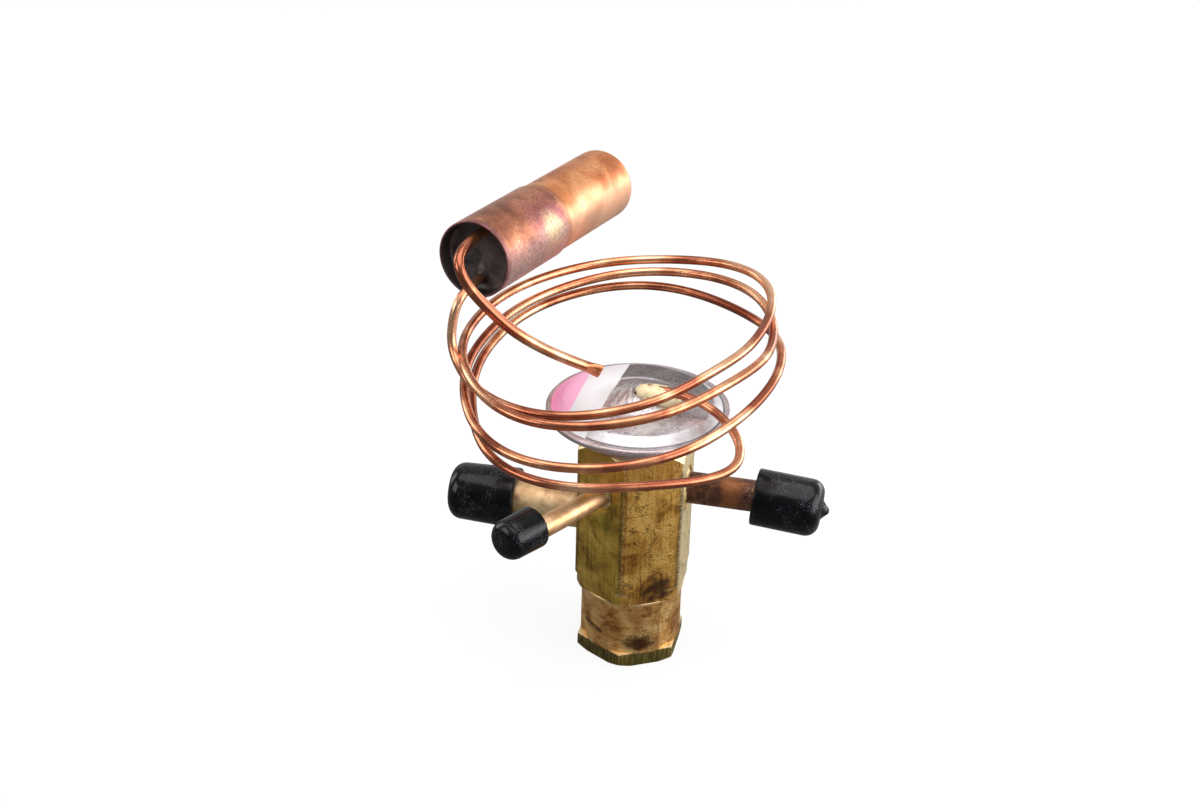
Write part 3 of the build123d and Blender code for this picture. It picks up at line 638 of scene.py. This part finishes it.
def plain_label():
    """Bare label: a pink field on the outer side, white towards the hub."""
    material, here = start_material("plain_label")
    turned_place = here.node("VectorRotate", {"rotation_type": "Z_AXIS"}, {
        "Vector": here, "Angle": -radians(PINK_TURN)})
    across = part_of(turned_place, "X")
    pink = ease(across, PINK_EDGE + 0.15, PINK_EDGE - 0.15)
    soil = noise(here, 0.3, 5, 0.6)
    # Painted highlight: the pink is painted paler towards the hub, as a glare.
    rose_and_glare = mix(ease(across, -25.0, -19.0), (0.80, 0.22, 0.43), (0.80, 0.38, 0.56))
    colour = mix(pink, (0.66, 0.65, 0.67), rose_and_glare)
    colour = mix(ease(soil, 0.55, 0.8) * 0.25, colour, (0.45, 0.38, 0.40))
    return surface(material, colour, 0.0, 0.36, soil, 0.03, Coat_Weight=0.2)


def plain_finish(name, colour, metallic, rough):
    """Quiet finish for the pieces inside: one colour, slightly mottled."""
    material, here = start_material(name)
    clouds = noise(here, 0.6, 4)
    shade = mix(clouds, [c * 0.85 for c in colour], [min(1, c * 1.15) for c in colour])
    return surface(material, shade, metallic, rough + 0.1 * clouds, clouds, 0.01)


# Where the marks lie on the pieces, and how far the turned chamfers run.
CORNER_REACH, TOP_SLOPE, LOW_SLOPE = 18.53, 1.4516, 0.7
BODY_STAIN, OLIVE_SPOT = (10.6, -12.2, 31.5), (-6.5, -14.6, 50.0)
SCRATCHES = [                 # each its middle, heading and half length
    ((6.06, -14.83, 58.03), (0.85, 0.49, 0.16), 7.0),
    ((3.90, -16.08, 54.47), (0.86, 0.50, 0.14), 4.6),
    ((10.77, -12.11, 56.99), (0.71, 0.41, 0.57), 3.0),
    ((2.46, -16.91, 48.66), (0.72, 0.42, 0.55), 3.3),
    ((9.54, -12.82, 34.59), (0.86, 0.49, 0.16), 4.9),
]
CAP_STAIN = (4.8, -14.4, 12.6)
GOUGE_MIDDLE, GOUGE_HEADING = (-9.4, -12.15, 11.1), (0.783, -0.602, -0.159)
PINK_EDGE, PINK_TURN = -17.6, -1.3
STRAW_SPOT, GREY_SPOT = (-33.0, 16.0, 128.0), (-40.0, 34.0, 136.0)
PINCH_END = (-11.5, -8.3, 97.3)

BRASS = aged_brass()
CAP_BRASS = pink_brass()
OUTLET_COPPER = drawn_copper("outlet_copper", (0.96, 0.72, 0.42), (0.60, 0.34, 0.15), 0.40)
EQUALIZER_COPPER = drawn_copper("equalizer_copper", (0.90, 0.60, 0.34), (0.62, 0.34, 0.15),
                                0.38)
INLET_COPPER = inlet_copper()
SLEEVE_COPPER = tinted_copper()
SHELL_COPPER = shell_copper()
BULB_END_COPPER = bulb_end_copper()
COIL_COPPER = wound_copper()
STEEL = pressed_steel()
SOLDER = silver_solder("head_solder", (0.86, 0.72, 0.44), (0.50, 0.36, 0.18), 0.32)
BRAZE = silver_solder("stub_braze", (0.78, 0.62, 0.30), (0.20, 0.12, 0.05), 0.38)
VINYL = black_vinyl()
LABEL = plain_label()
PLAIN_STEEL = plain_finish("plain_steel", (0.42, 0.42, 0.43), 1.0, 0.35)
PLAIN_BRASS = plain_finish("plain_brass", (0.62, 0.44, 0.20), 1.0, 0.32)
PACKING = plain_finish("packing", (0.80, 0.78, 0.74), 0.0, 0.55)
STUB_FINISHES = {"inlet": (INLET_COPPER, "oxidised_copper"),
                 "outlet": (OUTLET_COPPER, "copper"), "equalizer": (EQUALIZER_COPPER, "copper")}


# ---- brass body and seal cap -----------------------------------------------------------------

def hexagon_bar(name, flats, bottom, top):
    """Length of hexagon bar with two flats square to X."""
    return bar(name, flats / 2 / cos(pi / 6), bottom, top, 6)


def brass_body():
    """Hexagon bar turned at both ends, bored from below and drilled for its three stubs."""
    corner = HEX_FLATS / 2 / cos(pi / 6) + 0.2
    body = hexagon_bar("brass_body", HEX_FLATS, SPIGOT_BOTTOM, NECK_TOP)
    cut(body, turn("envelope", [
        (0, SPIGOT_BOTTOM - 0.01), (SPIGOT_RADIUS - 0.8, SPIGOT_BOTTOM - 0.01),
        (SPIGOT_RADIUS, SPIGOT_BOTTOM + 0.8), (SPIGOT_RADIUS, BODY_BOTTOM),
        (BAND_RADIUS, BODY_BOTTOM), (BAND_RADIUS, BAND_TOP), (corner, HEX_BOTTOM),
        (corner, HEX_TOP), (SHOULDER_RADIUS, SHOULDER_TOP), (NECK_RADIUS, SHOULDER_TOP),
        (NECK_RADIUS, NECK_TOP + 0.01), (0, NECK_TOP + 0.01)]), "INTERSECT")
    cut(body, turn("chamber", [
        (0, SPIGOT_BOTTOM - 1), (NUT_BORE_RADIUS, SPIGOT_BOTTOM - 1),
        (NUT_BORE_RADIUS, NUT_BORE_TOP), (CHAMBER_RADIUS, NUT_BORE_TOP),
        (CHAMBER_RADIUS, CHAMBER_TOP), (0, CHAMBER_TOP)]))
    for stub in STUBS.values():
        for radius, start in ((stub["radius"], stub["seat"]),
                              (stub["radius"] - PORT_STEP, PORT_START),
                              (stub["spot"], HEX_FLATS / 2 - SPOT_DEPTH)):
            drill = bar("drill", radius, start, HEX_FLATS, 64)
            along_stub(drill, stub)
            cut(body, drill)
    break_edges(body, 0.22)
    dress(body, BRASS, "valve_brass", "valve", "valve_body")


def seal_cap():
    """Hexagon base with turned corners under a turned barrel with a lip."""
    flats, hex_top, top, floor = 29.6, 4.7, 23.05, 6.5
    barrel, lip, bore, gasket, gasket_bottom = 15.35, 15.9, 12.62, 14.1, 21.9
    corner = flats / 2 / cos(pi / 6) + 0.1
    cap = hexagon_bar("seal_cap_shell", flats, 0, hex_top)
    cut(cap, turn("corner_turning", [
        (0, -0.01), (15.4, -0.01), (corner, 1.1), (corner, hex_top + 0.01),
        (0, hex_top + 0.01)]), "INTERSECT")
    cut(cap, turn("barrel", [
        (0, 1.5), (barrel - 1.5, 1.5), (barrel - 1.5, hex_top - 0.5), (barrel, hex_top - 0.5),
        (barrel, top - 1.3), (lip, top - 0.9), (lip, top - 0.2), (lip - 0.2, top), (0, top)]),
        "UNION")
    cut(cap, turn("hollow", [
        (0, floor), (bore - 1, floor), (bore, floor + 1), (bore, gasket_bottom),
        (gasket, gasket_bottom), (gasket, top + 1), (0, top + 1)]))
    point, half, lift, dip, heading = 0.75, 4.2, 1.03, 99, -37.6
    scriber = bar("scriber", point, -half, half, 16)
    settle(scriber, (0, radians(dip), radians(heading)),
           (GOUGE_MIDDLE[0] * lift, GOUGE_MIDDLE[1] * lift, GOUGE_MIDDLE[2]))
    cut(cap, scriber)
    break_edges(cap, 0.2)
    dress(cap, CAP_BRASS, "seal_cap_brass", "bottom_cap", "seal_cap")


# ---- stubs, brazes and covers ----------------------------------------------------------------

def stub_tube(name, stub, material, slot):
    """Copper tube with both edges of its open end broken."""
    outer, inner = stub["radius"], stub["radius"] - stub["wall"]
    edge, end = 0.2, stub["end"]
    tube = turn(name + "_tube", [
        (inner, stub["seat"]), (outer, stub["seat"]), (outer, end - edge), (outer - edge, end),
        (inner + edge, end), (inner, end - edge)])
    along_stub(tube, stub)
    smooth(tube)
    dress(tube, material, slot, "valve", name + "_stub")


def stub_fillet(name, stub):
    """Fillet of braze round the root of a stub, uneven as it froze."""
    foot, radius, size = HEX_FLATS / 2 - SPOT_DEPTH, stub["radius"] - 0.05, stub["fillet"]
    hollow = arc((radius + size, foot + size), size, 270, 180, 6)
    fillet = turn(name + "_fillet", [(radius, foot), *hollow])
    ripple(fillet, 1.8, 0.25, 1)
    along_stub(fillet, stub)
    smooth(fillet, 60)
    dress(fillet, BRAZE, "braze", "valve", name + "_braze")


def push_on_cover(name, stub, cover):
    """Dipped vinyl cover: soft lip, nearly straight sides and a rounded closed end."""
    length, bend, nub = cover["end"] - cover["start"], cover["bend"], cover["nub"]
    outline = [(0, 0), *arc((cover["mouth"] - 0.7, 0.7), 0.7, -90, 0, 5),
               *arc((cover["radius"] - bend, length - bend), bend, 0, 90, 12)]
    if nub:
        outline += [(3.5, length), (3.1, length + 0.05), (2.5, length + 0.4),
                    (1.5, length + 0.6 * nub), (0.9, length + 0.9 * nub), (0.4, length + nub),
                    (0, length + nub)]
    else:
        outline += [(0, length)]
    shell = turn(name + "_cover_shell", outline)
    ripple(shell, 7.0, 0.16)
    settle(shell, (0, radians(cover["lean"]), 0),
           (cover["drop"], cover["shift"], cover["start"]))
    grip, mouth = stub["radius"] + 0.04, cover["start"]
    cut(shell, turn("stub_room", [
        (0, mouth - 5), (grip + 0.5, mouth - 5), (grip + 0.5, mouth + 0.1), (grip, mouth + 0.8),
        (grip, stub["end"] + 0.4), (0, stub["end"] + 0.4)], 64))
    along_stub(shell, stub)
    smooth(shell, 50)
    dress(shell, VINYL, "vinyl", name + "_cover", name + "_cap")


# ---- power head ------------------------------------------------------------------------------

CASE_TOP = [
    (HEAD_RADIUS, RIM_TOP), (25.5, RIM_TOP), (24.9, RIM_TOP + 0.15), (22.6, PLATEAU - 0.4),
    (21.8, PLATEAU), (13.8, PLATEAU + 0.15), (13.2, PLATEAU - 0.2), (11.6, PLATEAU - 0.2),
    (9.8, PLATEAU - 0.1), (8.5, PLATEAU + 0.35), (4.6, PLATEAU + 1.7), (3.2, PLATEAU + 2.2),
]


def upper_case():
    """Pressed cover, raised to a hub."""
    flange = DIAPHRAGM + DIAPHRAGM_THICK
    inner = [(r - 0.35, max(z - SHEET, flange + 0.3)) for r, z in reversed(CASE_TOP[2:])]
    case = turn("upper_case", [*CASE_TOP, (1.5, PLATEAU + 2.3), (1.5, inner[0][1]), *inner,
                               (24.4, flange), (HEAD_RADIUS, flange)])
    break_edges(case, 0.5, 4, 14)
    dress(case, STEEL, "stainless", "valve", "upper_head_case")


def lower_case():
    """Pressed pan round the neck."""
    case = turn("lower_case", [
        (NECK_RADIUS, PAN_BOTTOM), (PAN_RADIUS - 0.6, PAN_BOTTOM), (PAN_RADIUS, PAN_BOTTOM + 0.4),
        (24.2, RIM_BOTTOM - 0.2), (24.8, RIM_BOTTOM), (HEAD_RADIUS, RIM_BOTTOM),
        (HEAD_RADIUS, DIAPHRAGM), (24.4, DIAPHRAGM), (23.4, RIM_BOTTOM + 0.4),
        (PAN_RADIUS - 1, PAN_BOTTOM + SHEET + 0.2), (PAN_RADIUS - 1.6, PAN_BOTTOM + SHEET),
        (NECK_RADIUS, PAN_BOTTOM + SHEET)])
    break_edges(case, 0.3, 3, 20)
    dress(case, STEEL, "stainless", "valve", "lower_head_case")


def rim_bead():
    """Weld that closes the rim."""
    outer = HEAD_RADIUS + RIM_BEAD
    bead = turn("rim_bead", [
        (HEAD_RADIUS - 0.05, RIM_BOTTOM), (outer - 0.3, RIM_BOTTOM + 0.1),
        (outer, RIM_BOTTOM + 0.5), (outer, RIM_TOP - 0.5), (outer - 0.3, RIM_TOP - 0.1),
        (HEAD_RADIUS - 0.05, RIM_TOP)])
    smooth(bead, 60)
    dress(bead, STEEL, "stainless", "valve", "rim_weld")


def foil_label():
    """Label laid over one side of the cover."""
    under = [(25.7, RIM_TOP + 0.03)] + [(r, z + 0.02) for r, z in CASE_TOP[2:] if r > 4]
    over = [(r, z + LABEL_THICK) for r, z in reversed(under)]
    skin = turn("foil_label", under + over)
    pick(skin)
    bpy.ops.object.mode_set(mode="EDIT")
    bpy.ops.mesh.select_all(action="SELECT")
    lean = radians(LABEL_TURN)
    bpy.ops.mesh.bisect(
        plane_co=(LABEL_CHORD * cos(lean) * MM, LABEL_CHORD * sin(lean) * MM, 0),
        plane_no=(cos(lean), sin(lean), 0), use_fill=True, clear_outer=True)
    bpy.ops.object.mode_set(mode="OBJECT")
    smooth(skin, 40)
    dress(skin, LABEL, "label", "valve", "name_label")


def hub_solder():
    """Bead of solder over the capillary's end, spread unevenly on the hub."""
    clear_selection()
    bpy.ops.mesh.primitive_uv_sphere_add(segments=96, ring_count=48, radius=MM)
    bead = bpy.context.object
    bead.name = bead.data.name = "hub_solder"
    spread, lean, place = (6.9, 3.7, 3.0), radians(8), (5.9, -0.3, 87.2)
    bead.scale = spread
    settle(bead, (0, lean, 0), place)
    ripple(bead, 4.5, 1.0)
    ripple(bead, 1.5, 0.3)
    smooth(bead, 80)
    dress(bead, SOLDER, "solder", "valve", "head_braze")


# ---- bulb ------------------------------------------------------------------------------------

def bulb_sleeve():
    """Near half of the bulb, drawn down on to the far half."""
    inner = SLEEVE_RADIUS - BULB_WALL
    sleeve = turn("bulb_sleeve_tube", [
        (inner, 0.15), (inner + 0.15, 0), (SLEEVE_RADIUS - 0.2, 0), (SLEEVE_RADIUS, 0.2),
        (SLEEVE_RADIUS, SLEEVE_LENGTH - 1.2), (SLEEVE_RADIUS - 0.15, SLEEVE_LENGTH - 0.4),
        (BULB_RADIUS - 0.1, SLEEVE_LENGTH), (inner, SLEEVE_LENGTH)])
    along_bulb(sleeve)
    smooth(sleeve)
    dress(sleeve, SLEEVE_COPPER, "heat_tinted_copper", "valve", "bulb_sleeve")


def bulb_shell():
    """Far half of the bulb, closed by a rounded end."""
    start, neck, bend = SLEEVE_LENGTH - 6.0, SLEEVE_RADIUS - BULB_WALL, 2.6
    shell = turn("bulb_far_shell", [
        (neck - BULB_WALL, start), (neck, start), (neck, SLEEVE_LENGTH),
        (BULB_RADIUS, SLEEVE_LENGTH),
        *arc((BULB_RADIUS - bend, BULB_LENGTH - bend), bend, 0, 90, 10),
        (0, BULB_LENGTH), (0, BULB_LENGTH - BULB_WALL),
        (neck - BULB_WALL - 1.8, BULB_LENGTH - BULB_WALL), (neck - BULB_WALL, BULB_LENGTH - 2.6)])
    along_bulb(shell)
    smooth(shell)
    dress(shell, SHELL_COPPER, "copper", "valve", "bulb_shell")


def bulb_end_cup():
    """Dished end inside the mouth."""
    outer = SLEEVE_RADIUS - BULB_WALL
    cup = turn("bulb_end_dish", [
        (0, CUP_DEPTH), (outer - 1.4, CUP_DEPTH), (outer - 0.4, CUP_DEPTH - 0.3),
        (outer, CUP_DEPTH - 0.9), (outer, CUP_DEPTH + 4), (outer - 1, CUP_DEPTH + 4),
        (outer - 1, CUP_DEPTH + 1.6), (outer - 2, CUP_DEPTH + 1), (0, CUP_DEPTH + 1)])
    along_bulb(cup)
    blob = turn("hole_solder", [(0, CUP_DEPTH - 1.4), (0.9, CUP_DEPTH - 1.2),
                                (1.8, CUP_DEPTH - 0.6), (2.6, CUP_DEPTH + 0.3),
                                (0, CUP_DEPTH + 0.3)], 48)
    settle(blob, at=(TUBE_OFFSET - 0.5, 0.4, 0))
    ripple(blob, 1.5, 0.4)
    along_bulb(blob)
    cut(cup, blob, "UNION")
    smooth(cup, 50)
    dress(cup, BULB_END_COPPER, "oxidised_copper", "valve", "bulb_end_cup")


# ---- capillary and charging tube -------------------------------------------------------------

def in_bulb(side, depth):
    """Point on a tube hole of the bulb's end, this far in from the mouth."""
    rise = Vector((-sin(BULB_SLOPE) * cos(BULB_HEADING), -sin(BULB_SLOPE) * sin(BULB_HEADING),
                   cos(BULB_SLOPE)))
    return tuple(BULB_MOUTH + BULB_AXIS * depth + rise * side * TUBE_OFFSET)


def knot_value(index, share, column):
    """Smooth value between two coil knots, from the two knots either side."""
    last = len(COIL_KNOTS) - 1
    a, b, c, d = (COIL_KNOTS[min(max(index + k, 0), last)][column] for k in (-1, 0, 1, 2))
    return 0.5 * (2 * b + (c - a) * share + (2 * a - 5 * b + 4 * c - d) * share**2
                  + (3 * b - a - 3 * c + d) * share**3)


def coil_point(angle):
    """Control point of the coil at an angle counted through all its turns."""
    index, rest = divmod(angle - COIL_FIRST, KNOT_STEP)
    reach = knot_value(int(index), rest / KNOT_STEP, 0)
    height = knot_value(int(index), rest / KNOT_STEP, 1)
    return (COIL_CENTRE[0] + reach * cos(radians(angle)),
            COIL_CENTRE[1] + reach * sin(radians(angle)), height)


def wire(name, route, radius, sides=10):
    """Round tube along one smooth line through a route."""
    clear_selection()
    bpy.ops.curve.primitive_nurbs_path_add()
    line = bpy.context.object
    line.name = line.data.name = name
    line.data.splines.clear()
    spline = line.data.splines.new("NURBS")
    spline.points.add(len(route) - 1)
    for point, place in zip(spline.points, route):
        point.co = (*(c * MM for c in place), 1)
    spline.order_u = 4
    spline.use_endpoint_u = True
    line.data.resolution_u = 6
    line.data.bevel_depth = radius * MM
    line.data.bevel_resolution = sides
    line.data.use_fill_caps = True
    bpy.ops.object.convert(target="MESH")
    piece = bpy.context.object
    smooth(piece, 40)
    return piece


def capillary():
    """Capillary from the bulb, round the hand-wound coil and into the head's hub."""
    from_bulb = [in_bulb(-1, CUP_DEPTH + 3), in_bulb(-1, -6.0), (-51.8, -16.2, 113.0),
                 (-52.2, -17.4, 103.0)]
    turns = [coil_point(angle) for angle in range(COIL_FIRST, COIL_LAST, COIL_STEP)]
    to_head = [(31.0, -35.5, 82.2), (35.4, -24.5, 83.8), (31.0, -13.0, 86.3),
               (19.5, -3.0, 89.0), (10.0, -0.6, 89.0), (2.4, 0.0, 88.7)]
    piece = wire("capillary_wire", from_bulb + turns + to_head, CAPILLARY_RADIUS)
    dress(piece, COIL_COPPER, "copper", "valve", "capillary_tube")


def charging_tube():
    """Filling tube of the bulb, pinched flat at its end."""
    route = [in_bulb(1, CUP_DEPTH + 3), in_bulb(1, -9.5), (-48.6, -22.5, 129.0),
             (-40.8, -20.5, 119.4), (-34.5, -17.5, 111.5), (-27.0, -14.8, 105.8),
             (-20.2, -12.3, 101.9), (-14.2, -9.1, 98.4)]
    piece = wire("charging_wire", route, CHARGE_RADIUS)
    heading = (Vector(route[-1]) - Vector(route[-2])).normalized()
    pinch = bar("pinched_end", CHARGE_RADIUS, -0.4, 0.1, 40)
    bpy.ops.object.mode_set(mode="EDIT")
    bpy.ops.mesh.select_all(action="DESELECT")
    bpy.ops.object.mode_set(mode="OBJECT")
    for face in pinch.data.polygons:
        face.select = face.normal.z > 0.9
    bpy.ops.object.mode_set(mode="EDIT")
    for length, wide, thin in ((0.8, 1.03, 0.86), (1.0, 1.07, 0.72), (1.0, 1.08, 0.72),
                               (1.0, 1.05, 0.92), (1.3, 1.03, 1.0)):
        bpy.ops.mesh.extrude_region_move(TRANSFORM_OT_translate={"value": (0, 0, length * MM)})
        bpy.ops.transform.resize(value=(wide, thin, 1), center_override=(0, 0, 0))
    bpy.ops.object.mode_set(mode="OBJECT")
    dip = atan2(heading.z, Vector((heading.x, heading.y)).length)
    settle(pinch, (0, pi / 2 - dip, atan2(heading.y, heading.x)), route[-1])
    break_edges(pinch, 0.2)
    pick(piece)
    pinch.select_set(True)
    bpy.ops.object.join()
    dress(piece, COIL_COPPER, "copper", "valve", "charging_tube")


# ---- spring, and pieces that keep their own solid --------------------------------------------

def superheat_spring():
    """Spring under the pin carrier, shortened by the plate that rises under it."""
    bottom, top = SPRING_SEAT + SPRING_WIRE, SPRING_TOP - SPRING_WIRE
    steps = range(0, SPRING_TURN + 1, 20)
    route = [(SPRING_RADIUS * cos(radians(angle)), SPRING_RADIUS * sin(radians(angle)),
              bottom + (top - bottom) * angle / SPRING_TURN) for angle in steps]
    piece = wire("superheat_coil", route, SPRING_WIRE, 3)
    coat(piece, PLAIN_STEEL)
    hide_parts("superheat_spring")
    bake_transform(piece)


def finish_inner_pieces():
    """Materials for the pieces that keep their own solid."""
    for material, names in (
            (PLAIN_STEEL, ("valve_seat", "push_rod_1", "push_rod_2", "adjusting_stem",
                           "valve_pin", "diaphragm", "buffer_plate")),
            (PLAIN_BRASS, ("packing_nut", "spring_plate", "pin_carrier")),
            (PACKING, ("rod_seal_1", "rod_seal_2", "stem_packing", "seal_cap_gasket"))):
        for name in names:
            coat(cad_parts[name], material)


# ---- camera, light and stage -----------------------------------------------------------------

def camera():
    """Camera in front of the valve, a little to its right and looking down on it."""
    turn_about, rise, roll = radians(12.029), radians(28.817), radians(1.622)
    aside, height, distance, focal = -11.353, 83.978, 606.72, 62.06
    back = Vector((sin(turn_about) * cos(rise), -cos(turn_about) * cos(rise), sin(rise)))
    right = Vector((cos(turn_about), sin(turn_about), 0))
    up = back.cross(right)
    across = right * cos(roll) + up * sin(roll)
    above = up * cos(roll) - right * sin(roll)
    target = right * aside + Vector((0, 0, height))
    lens = bpy.data.cameras.new("camera")
    lens.lens = focal
    lens.sensor_width = 36
    lens.clip_start, lens.clip_end = 0.01, 20
    seat = bpy.data.objects.new("camera", lens)
    bpy.context.scene.collection.objects.link(seat)
    place = (target + back * distance) * MM
    seat.matrix_world = Matrix([
        *((across[k], above[k], back[k], place[k]) for k in range(3)), (0, 0, 0, 1)])
    bpy.context.scene.camera = seat


def lamp(name, place, size, watts, aim=(0, 0, 0.08)):
    """Soft square lamp aimed at the valve."""
    light = bpy.data.lights.new(name, "AREA")
    light.shape = "RECTANGLE"
    light.size, light.size_y = size
    light.energy = watts
    holder = bpy.data.objects.new(name, light)
    holder.location = place
    holder.rotation_euler = (Vector(aim) - Vector(place)).to_track_quat("-Z", "Y").to_euler()
    bpy.context.scene.collection.objects.link(holder)


def floor_sheet():
    """White floor: pale paper to light, near white to the camera and in reflections behind."""
    clear_selection()
    bpy.ops.mesh.primitive_plane_add(size=8)
    floor = bpy.context.object
    floor.name = "floor"
    material = bpy.data.materials.new("white_floor")
    shade = bare_nodes(material)
    here = shade.node("TexCoord", {}, {}, "Object")
    to_camera, in_front, at_back = 0.88, 0.06, 0.80          # how much of the floor's white shows
    behind = ease(part_of(here, "Y") + 0.7 * part_of(here, "X"), 0.05, 0.5)
    path = shade.node("LightPath", {}, {}, "Is Camera Ray")
    glossy = shade.node("LightPath", {}, {}, "Is Glossy Ray")
    paper = shade.node("BsdfDiffuse", {}, {"Color": mix(path, 0.12, 0.85)})
    glow = shade.node("Emission", {}, {"Color": rgba(1.0), "Strength": 1.0})
    share = path * to_camera + glossy * (in_front + at_back * behind)
    seen = shade.node("MixShader", {}, {0: share, 1: paper, 2: glow})
    shade.node("OutputMaterial", {}, {"Surface": seen})
    floor.data.materials.append(material)
    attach(floor, "bottom_cap")     # a cap taken off stays in sight, on the floor


def studio_air():
    """World: white to the camera, brighter from above and from the right at the back."""
    world = bpy.data.worlds.new("studio")
    bpy.context.scene.world = world
    shade = bare_nodes(world)
    sky = shade.node("TexCoord", {}, {}, "Generated")
    dim, extra = 0.18, 0.52
    bright_side = 0.6 * part_of(sky, "X") + 0.5 * part_of(sky, "Y") + 0.6 * part_of(sky, "Z")
    air = shade.node("Background", {}, {
        "Color": rgba(1.0), "Strength": dim + extra * ease(bright_side, -0.4, 0.8)})
    white = shade.node("Background", {}, {"Color": rgba(1.0), "Strength": 1.0})
    path = shade.node("LightPath", {}, {}, "Is Camera Ray")
    both = shade.node("MixShader", {}, {0: path, 1: air, 2: white})
    shade.node("OutputWorld", {}, {"Surface": both})


def lights():
    """Soft lamps round the valve."""
    lamp("overhead", (0.05, -0.05, 0.95), (0.95, 0.85), 6.2)
    lamp("right_window", (0.92, -0.22, 0.34), (0.9, 0.9), 11.0)
    lamp("right_back", (0.72, 0.62, 0.22), (1.1, 0.35), 4.5, (0, 0, 0.1))
    lamp("left_edge", (-0.85, 0.25, 0.35), (0.3, 0.6), 2.0)
    lamp("left_fill", (-0.75, -0.55, 0.55), (0.6, 0.5), 3.6)


def build_valve():
    """Every piece of the valve."""
    brass_body()
    seal_cap()
    for name, stub in STUBS.items():
        stub_tube(name, stub, *STUB_FINISHES[name])
        stub_fillet(name, stub)
        push_on_cover(name, stub, COVERS[name])
    lower_case()
    upper_case()
    rim_bead()
    foil_label()
    hub_solder()
    bulb_sleeve()
    bulb_shell()
    bulb_end_cup()
    capillary()
    charging_tube()
    superheat_spring()
    finish_inner_pieces()


build_valve()
camera()
floor_sheet()
studio_air()
lights()
bpy.context.scene.view_settings.view_transform = "Standard"
bpy.context.view_layer.update()
